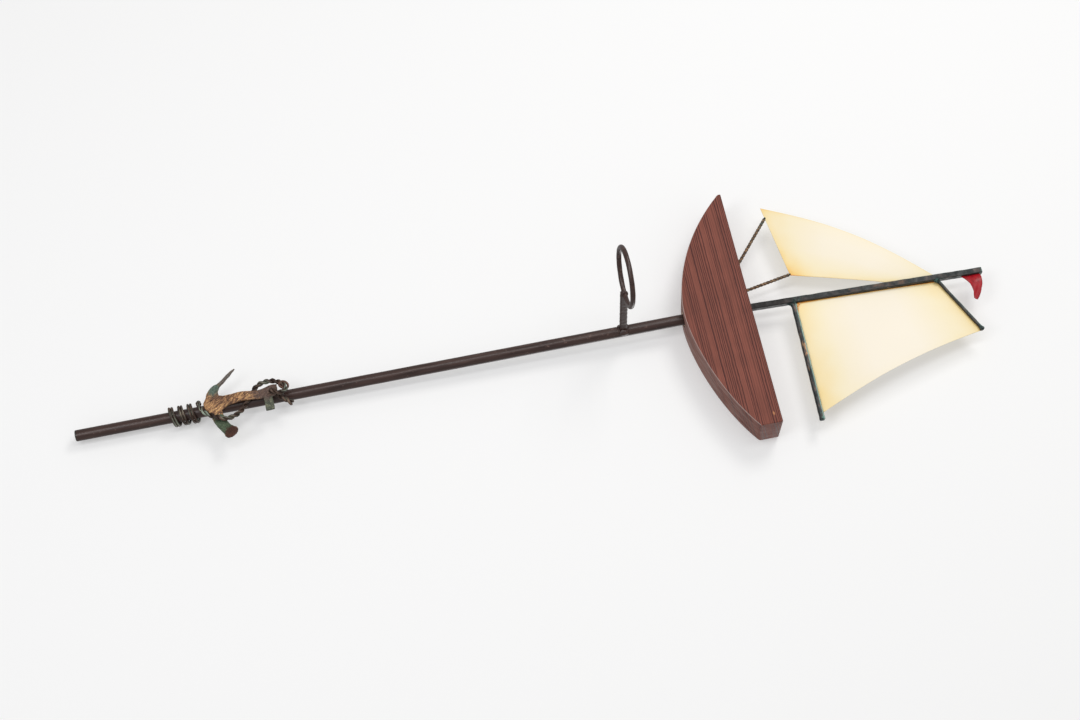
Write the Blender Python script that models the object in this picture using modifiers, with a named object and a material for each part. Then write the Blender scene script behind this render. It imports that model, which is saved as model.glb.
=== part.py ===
"""Weather vane: a wooden sailing boat turning on a round pole.

Metres. +Z runs up the pole, the origin is the middle of the pole's foot end,
the bow points to -X, the stern to +X. The boat (hull, spars, sails) turns on
a ball on top of the pole; the holder ring and the lashed anchor stay with the
pole.
"""

import math

import bmesh
import bpy
import numpy as np
from mathutils import Matrix, Vector

# ---------------------------------------------------------------- settings
render_steps = 48          # sides of a turned piece
grid_cells = 16            # cells along a sail

GAP = 0.0003               # between pieces that touch or fit

# pole and what turns on it
POLE_DIAMETER = 0.0127
POLE_CHAMFER = 0.0006
KEEL_HEIGHT = 0.6894       # lowest line of the hull above the pole's foot
BUSH_WALL = 0.0022
BUSH_RECESS = 0.0020
BALL_DIAMETER = 0.0080
DIMPLE_DEPTH = 0.0032
DISC_THICKNESS = 0.0025

# hull
HULL_LENGTH = 0.2948
HULL_DEPTH = 0.0766        # deck to keel at the pole
HULL_THICKNESS = 0.044
BOW_SHARE = 0.4776         # part of the length that lies ahead of the pole
TRANSOM_SHARE = 0.3225     # height of the flat stern, part of the depth
KEEL_LEAN = 0.0021         # the keel edge is not sawn quite square: back face inset
DECK_FALL = math.radians(0.9)
HULL_EDGE = 0.0007

# mast, boom, gaff
MAST_SIDE = 0.0066
MAST_HEIGHT = 0.2755       # above the deck
MAST_SOCKET = 0.013
SOCKET_WEB = 0.0045        # wood left between the socket and the bore
MAST_OFFSET = 0.0008
MAST_RAKE = math.radians(1.93)
BOOM_SIDE = 0.0056
BOOM_HEIGHT = 0.0530
BOOM_LENGTH = 0.1510
BOOM_FALL = math.radians(2.9)
GAFF_SIDE = 0.0034
GAFF_SHARE = 0.8018         # part of the mast's height
GAFF_LENGTH = 0.0820
GAFF_RISE = math.radians(23.7)

# sheets
SHEET = 0.0009
SEAM = 0.0004               # sheet edge to bar
MAIN_BELLY = 0.0080
MAIN_HOLLOW = 0.0052
MAIN_CLEW = 0.940          # part of the boom's length
JIB_TACK = (-0.1235, 0.0482)
JIB_CLEW = (-0.0300, 0.0588)
JIB_SEAM_LOW = 0.6171       # both ends of the seam, part of the mast's height
JIB_SEAM_HIGH = 0.8004
JIB_BELLY = 0.0050
JIB_ROUND = 0.0095
PENNANT_SHARE = 0.9002      # lower corner, part of the mast's height
PENNANT_HOIST = 0.0225
PENNANT_FLY = 0.0325
PENNANT_CURL = 0.0035
PENNANT_SHEET = 0.0008

# jib struts
STRUT_DIAMETER = 0.0025
STRUT_SOCKET = 0.012
TACK_STRUT_FOOT = -0.0527
TACK_STRUT_SHARE = 0.150   # where it meets the jib's foot, part of the foot
CLEW_STRUT_FOOT = -0.0204
CLEW_STRUT_SHARE = 0.988

# holder ring
RING_HEIGHT = 0.6222
RING_RADIUS = 0.0327       # to the middle of the rod
RING_ROD = 0.0056
RING_REACH = 0.1088        # pole axis to ring middle
RING_TURN = math.radians(5.9)
RING_RISE = math.radians(1.8)
ARM_SIDE = 0.0068
ARM_HEIGHT = 0.6209

# anchor
ANCHOR_HEIGHT = 0.1448     # bottom of the crown
PLATE = 0.0030
STOCK_SIZE = (0.0142, 0.0030, 0.0098)
EYE_PLAY = 0.0020          # hole in the shank's head, wider than the wire
HEAD_LEAN = 0.0016         # the head stands a little further off the pole
WIRE_DIAMETER = 0.0042
WRAP_SLACK = 0.00185       # the turns do not lie tight on the pole
WRAP_TURNS = 3.5
WRAP_PITCH = 0.0104

# colours (plain, for telling the pieces apart)
BROWN = (0.080, 0.045, 0.035, 1.0)
WOOD = (0.260, 0.110, 0.080, 1.0)
PATINA = (0.030, 0.055, 0.050, 1.0)
CREAM = (0.900, 0.780, 0.520, 1.0)
RED = (0.480, 0.010, 0.015, 1.0)
COPPER = (0.300, 0.170, 0.080, 1.0)
STEEL = (0.500, 0.500, 0.500, 1.0)
BRASS = (0.600, 0.420, 0.140, 1.0)

# ---------------------------------------------------------- derived places
pole_radius = POLE_DIAMETER / 2
deck_height = KEEL_HEIGHT + HULL_DEPTH
bow_x = -BOW_SHARE * HULL_LENGTH
stern_x = (1.0 - BOW_SHARE) * HULL_LENGTH
bore_top = deck_height - MAST_SOCKET - SOCKET_WEB
ball_radius = BALL_DIAMETER / 2
ball_lift = (ball_radius + GAP) / math.sin(math.pi / 4) - DIMPLE_DEPTH
pole_top = bore_top - GAP - DISC_THICKNESS - GAP - ball_radius - ball_lift
disc_bottom = pole_top + ball_lift + ball_radius + GAP
bush_inner = pole_radius + GAP
bush_outer = bush_inner + BUSH_WALL
bore_radius = bush_outer + GAP
gaff_height = GAFF_SHARE * MAST_HEIGHT
pennant_low = PENNANT_SHARE * MAST_HEIGHT
eye_diameter = WIRE_DIAMETER + EYE_PLAY
wrap_radius = pole_radius + WIRE_DIAMETER / 2 + WRAP_SLACK


def deck_z(x):
    """Height of the deck line at x."""
    return deck_height - math.tan(DECK_FALL) * x


mast_foot = Vector((MAST_OFFSET, 0.0, deck_z(MAST_OFFSET)))
mast_way = Vector((math.sin(MAST_RAKE), 0.0, math.cos(MAST_RAKE)))
mast_side_way = Vector((math.cos(MAST_RAKE), 0.0, -math.sin(MAST_RAKE)))


def on_mast(height, side):
    """Point on the mast's middle plane: height above deck, side along X."""
    along = height / math.cos(MAST_RAKE)
    return mast_foot + mast_way * along + mast_side_way * side


# ------------------------------------------------------------ fresh scene
for old in list(bpy.data.objects):
    bpy.data.objects.remove(old, do_unlink=True)

root = bpy.context.scene.collection
parts = bpy.data.collections.new("weather_vane")
cutters = bpy.data.collections.new("cutters")
root.children.link(parts)
root.children.link(cutters)


def material(name, colour, metallic, roughness):
    """Plain Principled material."""
    mat = bpy.data.materials.new(name)
    mat.use_nodes = True
    shader = mat.node_tree.nodes["Principled BSDF"]
    shader.inputs["Base Color"].default_value = colour
    shader.inputs["Metallic"].default_value = metallic
    shader.inputs["Roughness"].default_value = roughness
    mat.diffuse_color = colour
    return mat


def place(name, mesh, colour, metallic=0.0, roughness=0.5, origin=(0.0, 0.0, 0.0)):
    """Object for one piece, its origin at the given point."""
    shift = Vector(origin)
    mesh.transform(Matrix.Translation(-shift))
    obj = bpy.data.objects.new(name, mesh)
    obj.location = shift
    parts.objects.link(obj)
    mesh.materials.clear()
    mesh.materials.append(material(name + "_finish", colour, metallic, roughness))
    smooth(mesh)
    return obj


def smooth(mesh, angle=35.0):
    """Smooth faces with sharp edges kept."""
    for face in mesh.polygons:
        face.use_smooth = True
    mesh.set_sharp_from_angle(angle=math.radians(angle))


def close_mesh(name, verts, faces):
    """Mesh from lists, normals facing out."""
    mesh = bpy.data.meshes.new(name)
    mesh.from_pydata([tuple(v) for v in verts], [], [tuple(f) for f in faces])
    bm = bmesh.new()
    bm.from_mesh(mesh)
    bmesh.ops.remove_doubles(bm, verts=bm.verts, dist=1e-6)
    bmesh.ops.recalc_face_normals(bm, faces=bm.faces)
    bm.to_mesh(mesh)
    bm.free()
    mesh.update()
    return mesh


def turned(name, profile, colour, metallic, roughness, sides=render_steps):
    """Solid of revolution about Z; profile runs top to bottom at +X."""
    mesh = bpy.data.meshes.new(name)
    edges = [(i, i + 1) for i in range(len(profile) - 1)]
    mesh.from_pydata([(r, 0.0, z) for r, z in profile], edges, [])
    obj = bpy.data.objects.new(name, mesh)
    parts.objects.link(obj)
    screw = obj.modifiers.new("turn", "SCREW")
    screw.axis = "Z"
    screw.angle = 2 * math.pi
    screw.steps = sides
    screw.render_steps = sides
    screw.use_merge_vertices = True
    screw.merge_threshold = 0.00001
    screw.use_smooth_shade = False
    done = frozen(obj)
    bpy.data.objects.remove(obj, do_unlink=True)
    bm = bmesh.new()
    bm.from_mesh(done)
    bmesh.ops.remove_doubles(bm, verts=bm.verts, dist=1e-6)
    bmesh.ops.recalc_face_normals(bm, faces=bm.faces)
    bm.to_mesh(done)
    bm.free()
    return place(name, done, colour, metallic, roughness)


def frozen(obj):
    """Mesh of an object with its modifiers, in world coordinates."""
    bpy.context.view_layer.update()
    graph = bpy.context.evaluated_depsgraph_get()
    mesh = bpy.data.meshes.new_from_object(obj.evaluated_get(graph))
    mesh.transform(obj.matrix_world)
    return mesh


def soften(obj, width, segments=2):
    """Small rounded edges."""
    bevel = obj.modifiers.new("edge", "BEVEL")
    bevel.width = width
    bevel.segments = segments
    bevel.limit_method = "ANGLE"
    bevel.angle_limit = math.radians(35.0)
    bevel.harden_normals = False
    return bevel


def cut(obj, cutter):
    """Take the cutter's shape out of the object."""
    boolean = obj.modifiers.new("cut", "BOOLEAN")
    boolean.operation = "DIFFERENCE"
    boolean.solver = "EXACT"
    boolean.object = cutter
    return boolean


def cutter_object(name, mesh):
    """Cutter kept out of sight."""
    obj = bpy.data.objects.new(name, mesh)
    cutters.objects.link(obj)
    obj.hide_render = True
    obj.display_type = "WIRE"
    return obj


def bar_mesh(name, start, end, side_a, side_b, across, start_face=None, end_face=None):
    """Straight bar between two points; its ends may lie on given planes.

    across is the direction of side_a; a plane is (point, normal).
    """
    start = Vector(start)
    end = Vector(end)
    way = (end - start).normalized()
    a = (across - way * across.dot(way)).normalized()
    b = way.cross(a)
    ring = [(-1, -1), (1, -1), (1, 1), (-1, 1)]
    verts = []
    for base, plane in ((start, start_face), (end, end_face)):
        for i, j in ring:
            p = base + a * (i * side_a / 2) + b * (j * side_b / 2)
            if plane is not None:
                point, normal = plane
                p = p + way * ((point - p).dot(normal) / way.dot(normal))
            verts.append(p)
    faces = [(3, 2, 1, 0), (4, 5, 6, 7)]
    faces += [(i, (i + 1) % 4, 4 + (i + 1) % 4, 4 + i) for i in range(4)]
    return close_mesh(name, verts, faces)


def rod_mesh(name, start, end, radius, sides=16):
    """Straight round rod between two points."""
    start = Vector(start)
    end = Vector(end)
    way = (end - start).normalized()
    a = way.orthogonal().normalized()
    b = way.cross(a)
    verts = []
    for base in (start, end):
        for k in range(sides):
            t = 2 * math.pi * k / sides
            verts.append(base + a * (radius * math.cos(t)) + b * (radius * math.sin(t)))
    faces = [tuple(range(sides))[::-1], tuple(range(sides, 2 * sides))]
    faces += [(k, (k + 1) % sides, sides + (k + 1) % sides, sides + k) for k in range(sides)]
    return close_mesh(name, verts, faces)


# ---------------------------------------------------------------- the pole
def build_pole():
    """Solid round bar; its top is countersunk for the ball."""
    r = pole_radius
    c = POLE_CHAMFER
    profile = [
        (0.0, pole_top - DIMPLE_DEPTH),
        (DIMPLE_DEPTH, pole_top),
        (r - c, pole_top),
        (r, pole_top - c),
        (r, c),
        (r - c, 0.0),
        (0.0, 0.0),
    ]
    return turned("pole", profile, BROWN, 0.4, 0.45)


def build_ball():
    """Steel ball in the pole's countersink."""
    middle = pole_top + ball_lift
    steps = 14
    profile = []
    for k in range(steps + 1):
        t = math.pi * k / steps
        profile.append((abs(ball_radius * math.sin(t)), middle + ball_radius * math.cos(t)))
    return turned("pivot_ball", profile, STEEL, 1.0, 0.2, render_steps // 2)


def build_bush():
    """Metal sleeve in the keel bore."""
    top = disc_bottom - GAP
    low = KEEL_HEIGHT + BUSH_RECESS
    profile = [
        (bush_inner, low),
        (bush_inner, top),
        (bush_outer, top),
        (bush_outer, low),
        (bush_inner, low),
    ]
    return turned("hull_bush", profile, BRASS, 1.0, 0.35)


def build_disc():
    """Hard disc that rides on the ball."""
    top = disc_bottom + DISC_THICKNESS
    profile = [(0.0, top), (bush_outer, top), (bush_outer, disc_bottom), (0.0, disc_bottom)]
    return turned("thrust_disc", profile, STEEL, 1.0, 0.3)


# ---------------------------------------------------------------- the hull
def keel_sweep():
    """Keel edge of the front face in X and Z, bow to stern: two sweeps."""
    fore = -bow_x
    transom_low = deck_z(stern_x) - TRANSOM_SHARE * HULL_DEPTH
    bow_low = deck_z(bow_x) - 0.0366 * HULL_DEPTH
    lowest = 0.038 * stern_x
    bow = [
        (bow_x, bow_low),
        (bow_x + 0.364 * fore, bow_low - 0.766 * HULL_DEPTH),
        (lowest - 0.233 * fore, KEEL_HEIGHT),
        (lowest, KEEL_HEIGHT),
    ]
    stern = [
        (lowest, KEEL_HEIGHT),
        (lowest + 0.228 * stern_x, KEEL_HEIGHT),
        (stern_x - 0.300 * stern_x, transom_low - 0.434 * HULL_DEPTH),
        (stern_x, transom_low),
    ]
    points = []
    for sweep in (bow, stern):
        steps = 26
        for k in range(steps + 1):
            if sweep is stern and k == 0:
                continue
            t = k / steps
            w = ((1 - t) ** 3, 3 * (1 - t) ** 2 * t, 3 * (1 - t) * t * t, t ** 3)
            x = sum(w[i] * sweep[i][0] for i in range(4))
            z = sum(w[i] * sweep[i][1] for i in range(4))
            points.append((x, z))
    return points


def hull_outlines():
    """Front and back profiles: deck line, flat stern and the keel edge."""
    front = keel_sweep()
    back = []
    for k, (x, z) in enumerate(front):
        ahead = front[min(k + 1, len(front) - 1)]
        behind = front[max(k - 1, 0)]
        run = math.hypot(ahead[0] - behind[0], ahead[1] - behind[1])
        slope_x = (ahead[0] - behind[0]) / run
        slope_z = (ahead[1] - behind[1]) / run
        back.append((x - slope_z * KEEL_LEAN, z + slope_x * KEEL_LEAN))
    last = front[-1]
    back[-1] = (last[0], last[1] + (last[0] - back[-1][0]) * slope_z / slope_x + slope_x * KEEL_LEAN)
    nose = 0.006 * -bow_x
    outlines = []
    for keel, shift in ((front, 0.0), (back, 1.6 * KEEL_LEAN)):
        top = (bow_x + nose + shift, deck_z(bow_x + nose + shift))
        outlines.append([top] + keel + [(stern_x, deck_z(stern_x))])
    return outlines


def build_hull():
    """Thick board sawn to the profile, bored and socketed."""
    front, back = hull_outlines()
    n = len(front)
    half = HULL_THICKNESS / 2
    verts = [(x, -half, z) for x, z in front] + [(x, half, z) for x, z in back]
    faces = [tuple(range(n)), tuple(range(n, 2 * n))[::-1]]
    faces += [(k, (k + 1) % n, n + (k + 1) % n, n + k) for k in range(n)]
    mesh = close_mesh("hull", verts, faces)
    obj = place("hull", mesh, WOOD, 0.0, 0.7)
    soften(obj, HULL_EDGE, 2)
    bore = rod_mesh("bore_cut", (0, 0, KEEL_HEIGHT - 0.02), (0, 0, bore_top), bore_radius, render_steps)
    cut(obj, cutter_object("bore_cut", bore))
    low = on_mast(-MAST_SOCKET, 0.0)
    high = on_mast(0.01, 0.0)
    side = MAST_SIDE + 2 * GAP
    socket = bar_mesh("mast_socket_cut", low, high, side, side, Vector((1, 0, 0)))
    cut(obj, cutter_object("mast_socket_cut", socket))
    for label, (foot, tip) in strut_lines().items():
        way = (tip - foot).normalized()
        low = foot - way * (STRUT_SOCKET + GAP)
        hole = rod_mesh(label + "_cut", low, foot + way * 0.01, STRUT_DIAMETER / 2 + GAP, 16)
        cut(obj, cutter_object(label + "_cut", hole))
    return obj


# --------------------------------------------------------------- the spars
def mast_stern_plane():
    """Plane just clear of the mast's stern face."""
    return (on_mast(0.0, MAST_SIDE / 2 + GAP), mast_side_way)


def build_mast():
    """Square bar, let into the deck, raked aft."""
    low = on_mast(-MAST_SOCKET + GAP, 0.0)
    high = on_mast(MAST_HEIGHT, 0.0)
    mesh = bar_mesh("mast", low, high, MAST_SIDE, MAST_SIDE, Vector((1, 0, 0)))
    obj = place("mast", mesh, PATINA, 0.8, 0.5, on_mast(0.0, 0.0))
    soften(obj, 0.0006)
    return obj


def boom_point(along, up=0.0):
    """Point on the boom's axis, and above it."""
    way = Vector((math.cos(BOOM_FALL), 0.0, -math.sin(BOOM_FALL)))
    over = Vector((math.sin(BOOM_FALL), 0.0, math.cos(BOOM_FALL)))
    return on_mast(BOOM_HEIGHT, 0.0) + way * along + over * up


def build_boom():
    """Square bar along the foot of the mainsail."""
    mesh = bar_mesh("boom", boom_point(0.0), boom_point(BOOM_LENGTH), BOOM_SIDE, BOOM_SIDE,
                    Vector((0, 1, 0)), mast_stern_plane())
    obj = place("boom", mesh, PATINA, 0.8, 0.5, boom_point(0.0))
    soften(obj, 0.0009)
    return obj


def gaff_point(along, up=0.0):
    """Point on the gaff's axis, and above it."""
    way = Vector((math.cos(GAFF_RISE), 0.0, math.sin(GAFF_RISE)))
    over = Vector((-math.sin(GAFF_RISE), 0.0, math.cos(GAFF_RISE)))
    return on_mast(gaff_height, 0.0) + way * along + over * up


def build_gaff():
    """Thinner square bar along the head of the mainsail."""
    mesh = bar_mesh("gaff", gaff_point(0.0), gaff_point(GAFF_LENGTH), GAFF_SIDE, GAFF_SIDE,
                    Vector((0, 1, 0)), mast_stern_plane())
    obj = place("gaff", mesh, PATINA, 0.8, 0.5, gaff_point(0.0))
    soften(obj, 0.0007)
    return obj


# -------------------------------------------------------------- the sheets
def sheet_mesh(name, points, thickness):
    """Closed sheet from a grid of middle-surface points."""
    rows, cols, _ = points.shape
    du = np.gradient(points, axis=1)
    dv = np.gradient(points, axis=0)
    normal = np.cross(du, dv)
    normal = normal / np.linalg.norm(normal, axis=2)[:, :, None]
    front = (points - normal * thickness / 2).reshape(-1, 3)
    back = (points + normal * thickness / 2).reshape(-1, 3)
    verts = np.concatenate([front, back])
    index = np.arange(rows * cols).reshape(rows, cols)
    faces = []
    for r in range(rows - 1):
        for c in range(cols - 1):
            quad = (index[r, c], index[r, c + 1], index[r + 1, c + 1], index[r + 1, c])
            faces.append(quad)
            faces.append(tuple(i + rows * cols for i in quad[::-1]))
    rim = list(index[0, :]) + list(index[1:, -1]) + list(index[-1, -2::-1]) + list(index[-2:0:-1, 0])
    for k in range(len(rim)):
        a = rim[k]
        b = rim[(k + 1) % len(rim)]
        faces.append((b, a, a + rows * cols, b + rows * cols))
    return close_mesh(name, verts.tolist(), faces)


def patch(bottom, top, left, right, cells):
    """Surface between four edge curves (blend of the edges)."""
    t = np.linspace(0.0, 1.0, cells + 1)
    b = np.array([bottom(u) for u in t])
    p = np.array([top(u) for u in t])
    le = np.array([left(v) for v in t])
    ri = np.array([right(v) for v in t])
    u = t[None, :, None]
    v = t[:, None, None]
    rails = (1 - v) * b[None, :, :] + v * p[None, :, :] + (1 - u) * le[:, None, :] + u * ri[:, None, :]
    corners = (1 - u) * (1 - v) * b[0] + u * (1 - v) * b[-1] + (1 - u) * v * p[0] + u * v * p[-1]
    return rails - corners


def between(a, b, bulge=0.0, side=(0.0, 0.0, 0.0)):
    """Curve from a to b, bowed to one side."""
    a = np.array(a)
    b = np.array(b)
    s = np.array(side)

    def curve(t):
        return a * (1 - t) + b * t + s * bulge * math.sin(math.pi * t)
    return curve


def mainsail_corners():
    """Tack, clew, peak and throat of the mainsail."""
    foot_up = BOOM_SIDE / 2 + SEAM
    luff = MAST_SIDE / 2 + SEAM
    behind = GAFF_SIDE / 2 + GAP + SHEET / 2 + 0.0002
    tack = on_mast(BOOM_HEIGHT + foot_up + 0.0004, luff)
    clew = boom_point(MAIN_CLEW * BOOM_LENGTH, foot_up)
    clew.y = 0.0006
    tack.y = 0.0006
    peak = gaff_point(GAFF_LENGTH * 0.985, 0.0)
    peak.y = behind
    start = (luff / math.cos(GAFF_RISE)) * 1.02
    throat = gaff_point(start + 0.0012, GAFF_SIDE / 2 + 0.0005)
    throat.y = behind
    return tack, clew, peak, throat


def build_mainsail():
    """Four-cornered painted sheet; its luff and foot butt, its head laps."""
    tack, clew, peak, throat = mainsail_corners()
    chord = peak - clew
    inward = Vector((-chord.z, 0.0, chord.x)).normalized()
    leech_side = (inward.x, 0.0, inward.z)
    grid = patch(between(tack, clew), between(throat, peak),
                 between(tack, throat), between(clew, peak, MAIN_HOLLOW, leech_side), grid_cells)
    t = np.linspace(0.0, 1.0, grid_cells + 1)
    belly = np.sin(np.pi * t)[:, None] ** 0.9 * np.sin(np.pi / 2 * t)[None, :]
    grid[:, :, 1] -= MAIN_BELLY * belly
    mesh = sheet_mesh("mainsail", grid, SHEET)
    return place("mainsail", mesh, CREAM, 0.0, 0.5, tack)


def jib_corners():
    """Tack, clew, low and high end of the seam on the mast."""
    tack = Vector((JIB_TACK[0], 0.0, deck_height + JIB_TACK[1]))
    clew = Vector((JIB_CLEW[0], 0.0, deck_height + JIB_CLEW[1]))
    seam = -(MAST_SIDE / 2 + SEAM)
    low = on_mast(JIB_SEAM_LOW * MAST_HEIGHT, seam)
    high = on_mast(JIB_SEAM_HIGH * MAST_HEIGHT, seam)
    return tack, clew, low, high


def build_jib():
    """Painted sheet ahead of the mast."""
    tack, clew, low, high = jib_corners()
    chord = high - tack
    outward = Vector((-chord.z, 0.0, chord.x)).normalized()
    grid = patch(between(tack, clew), between(high, low),
                 between(tack, high, JIB_ROUND, (outward.x, 0.0, outward.z)),
                 between(clew, low), grid_cells)
    t = np.linspace(0.0, 1.0, grid_cells + 1)
    belly = np.sin(np.pi * t)[:, None] * (1.0 - 0.75 * t[None, :] ** 2)
    grid[:, :, 1] -= JIB_BELLY * belly
    mesh = sheet_mesh("jib", grid, SHEET)
    return place("jib", mesh, CREAM, 0.0, 0.5, tack)


def build_pennant():
    """Small curled sheet on the stern side of the masthead."""
    side = MAST_SIDE / 2 + GAP + 0.0001
    low = on_mast(pennant_low, side)
    high = on_mast(pennant_low + PENNANT_HOIST, side)
    tip_low = low + Vector((PENNANT_FLY * 0.93, 0.0, PENNANT_HOIST * 0.36))
    tip_high = low + Vector((PENNANT_FLY, 0.0, PENNANT_HOIST * 0.45))
    grid = patch(between(low, tip_low, PENNANT_HOIST * 0.05, (0.0, 0.0, -1.0)),
                 between(high, tip_high, PENNANT_HOIST * 0.17, (0.35, 0.0, 1.0)),
                 between(low, high), between(tip_low, tip_high), 12)
    t = np.linspace(0.0, 1.0, 13)
    wave = np.sin(1.35 * np.pi * t)[None, :] * (0.4 + 0.6 * t[:, None])
    grid[:, :, 1] -= PENNANT_CURL * wave
    mesh = sheet_mesh("pennant", grid, PENNANT_SHEET)
    return place("pennant", mesh, RED, 0.0, 0.4, low)


# -------------------------------------------------------------- the struts
def strut_lines():
    """Foot on the deck and tip at the jib's foot edge, for both struts."""
    tack, clew, _, _ = jib_corners()
    foot_edge = (clew - tack).normalized()
    lines = {}
    for label, foot_x, share in (
        ("jib_tack_strut", TACK_STRUT_FOOT, TACK_STRUT_SHARE),
        ("jib_clew_strut", CLEW_STRUT_FOOT, CLEW_STRUT_SHARE),
    ):
        foot = Vector((foot_x, 0.0, deck_z(foot_x)))
        meet = tack.lerp(clew, share)
        way = (meet - foot).normalized()
        slope = abs(way.dot(foot_edge))
        clear = SEAM + STRUT_DIAMETER / 2 * slope / math.sqrt(1 - slope * slope)
        lines[label] = (foot, meet - way * clear)
    return lines


def build_struts():
    """Thin rods that carry the jib's foot."""
    for label, (foot, tip) in strut_lines().items():
        way = (tip - foot).normalized()
        mesh = rod_mesh(label, foot - way * STRUT_SOCKET, tip, STRUT_DIAMETER / 2, 16)
        obj = place(label, mesh, PATINA, 0.8, 0.5, foot)
        soften(obj, 0.0003)


# --------------------------------------------------------- the holder ring
def ring_way():
    """Direction from the pole to the ring."""
    return Vector((-math.sin(RING_TURN), -math.cos(RING_TURN), 0.0))


def build_ring():
    """Round rod bent to a ring, standing level beside the pole."""
    centre = ring_way() * RING_REACH + Vector((0.0, 0.0, RING_HEIGHT))
    out = ring_way()
    across = Vector((-out.y, out.x, 0.0))
    lean = Matrix.Rotation(-RING_RISE, 3, across)
    turns = 56
    sides = 10
    verts = []
    for i in range(turns):
        t = 2 * math.pi * i / turns
        ray = out * math.cos(t) + across * math.sin(t)
        for k in range(sides):
            s = 2 * math.pi * k / sides
            reach = RING_RADIUS + RING_ROD / 2 * math.cos(s)
            p = ray * reach + Vector((0.0, 0.0, RING_ROD / 2 * math.sin(s)))
            verts.append(centre + lean @ p)
    faces = []
    for i in range(turns):
        for k in range(sides):
            a = i * sides + k
            b = i * sides + (k + 1) % sides
            c = (i + 1) % turns * sides + (k + 1) % sides
            d = (i + 1) % turns * sides + k
            faces.append((a, b, c, d))
    mesh = close_mesh("holder_ring", verts, faces)
    return place("holder_ring", mesh, BROWN, 0.4, 0.45, centre)


def build_ring_arm():
    """Square bar from the pole to the ring."""
    out = ring_way()
    base = Vector((0.0, 0.0, ARM_HEIGHT))
    start = base + out * (pole_radius + GAP)
    end = base + out * (RING_REACH - RING_RADIUS - RING_ROD / 2 - GAP)
    mesh = bar_mesh("ring_arm", start, end, ARM_SIDE, ARM_SIDE, Vector((0, 0, 1)))
    obj = place("ring_arm", mesh, BROWN, 0.4, 0.45, start)
    soften(obj, 0.0006)
    return obj


# --------------------------------------------------------------- the anchor
def forged_strip(name, stations):
    """Flat forged strip through stations.

    A station is middle (x, y, z), half width vector, half thickness vector.
    """
    verts = []
    corners = ((-1.0, -0.7), (-0.8, -1.0), (0.8, -1.0), (1.0, -0.7),
               (1.0, 0.7), (0.8, 1.0), (-0.8, 1.0), (-1.0, 0.7))
    for middle, wide, thick in stations:
        for i, j in corners:
            verts.append(Vector(middle) + Vector(wide) * i + Vector(thick) * j)
    m = len(corners)
    last = (len(stations) - 1) * m
    faces = [tuple(range(m))[::-1], tuple(range(last, last + m))]
    for s in range(len(stations) - 1):
        for k in range(m):
            a = s * m + k
            b = s * m + (k + 1) % m
            faces.append((a, b, b + m, a + m))
    return close_mesh(name, verts, faces)


crown_y = -(pole_radius + GAP + PLATE / 2)
head_y = -(pole_radius + WIRE_DIAMETER + 3 * GAP + PLATE / 2)


def plate_y(height):
    """The shank stands off the pole above the crown: room for the wire."""
    t = min(max((height - 0.020) / 0.026, 0.0), 1.0)
    lean = HEAD_LEAN * min(max((height - 0.054) / 0.020, 0.0), 1.0)
    return crown_y + (head_y - crown_y) * t * t * (3 - 2 * t) - lean


def build_shank():
    """Crown, shank and pierced head in one forged strip."""
    shape = (
        (0.0000, 0.0000, 0.0100),
        (0.0022, -0.0012, 0.0160),
        (0.0060, -0.0020, 0.0196),
        (0.0120, -0.0022, 0.0204),
        (0.0175, -0.0024, 0.0188),
        (0.0215, -0.0030, 0.0150),
        (0.0260, -0.0036, 0.0132),
        (0.0340, -0.0038, 0.0122),
        (0.0420, -0.0036, 0.0116),
        (0.0520, -0.0024, 0.0110),
        (0.0620, -0.0012, 0.0110),
        (0.0680, -0.0016, 0.0122),
        (0.0740, -0.0022, 0.0140),
        (0.0790, -0.0028, 0.0136),
        (0.0825, -0.0040, 0.0100),
    )
    stations = []
    for height, x, width in shape:
        middle = (x, plate_y(height), ANCHOR_HEIGHT + height)
        stations.append((middle, (width / 2, 0.0, 0.0), (0.0, PLATE / 2, 0.0)))
    mesh = forged_strip("anchor_shank", stations)
    obj = place("anchor_shank", mesh, COPPER, 0.7, 0.5, (0.0, crown_y, ANCHOR_HEIGHT))
    eye = eye_centre()
    hole = rod_mesh("eye_cut", eye - Vector((0, 0.01, 0)), eye + Vector((0, 0.01, 0)), eye_diameter / 2, 20)
    cut(obj, cutter_object("eye_cut", hole))
    return obj


def eye_centre():
    """Middle of the hole in the shank's head."""
    return Vector((-0.0016, plate_y(0.0762), ANCHOR_HEIGHT + 0.0762))


def build_arm_fore():
    """Bow-side arm: flat at the crown, turned on edge, drawn to a point."""
    edge_on = Vector((0.278, -0.921, 0.271))
    rows = (
        # x, y shift, height, half width, turn (0 flat, 1 on edge), half thickness
        (-0.0129, 0.0000, 0.0120, 0.0066, 0.00, 0.00150),
        (-0.0166, 0.0000, 0.0122, 0.0059, 0.05, 0.00150),
        (-0.0196, -0.0004, 0.0146, 0.0046, 0.25, 0.00145),
        (-0.0224, -0.0014, 0.0188, 0.0038, 0.60, 0.00135),
        (-0.0256, -0.0026, 0.0234, 0.0036, 0.90, 0.00120),
        (-0.0298, -0.0038, 0.0286, 0.0036, 1.00, 0.00105),
        (-0.0342, -0.0046, 0.0336, 0.0030, 1.00, 0.00090),
        (-0.0382, -0.0052, 0.0384, 0.0014, 1.00, 0.00060),
    )
    return arm_from_rows("anchor_arm_fore", rows, edge_on)


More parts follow.
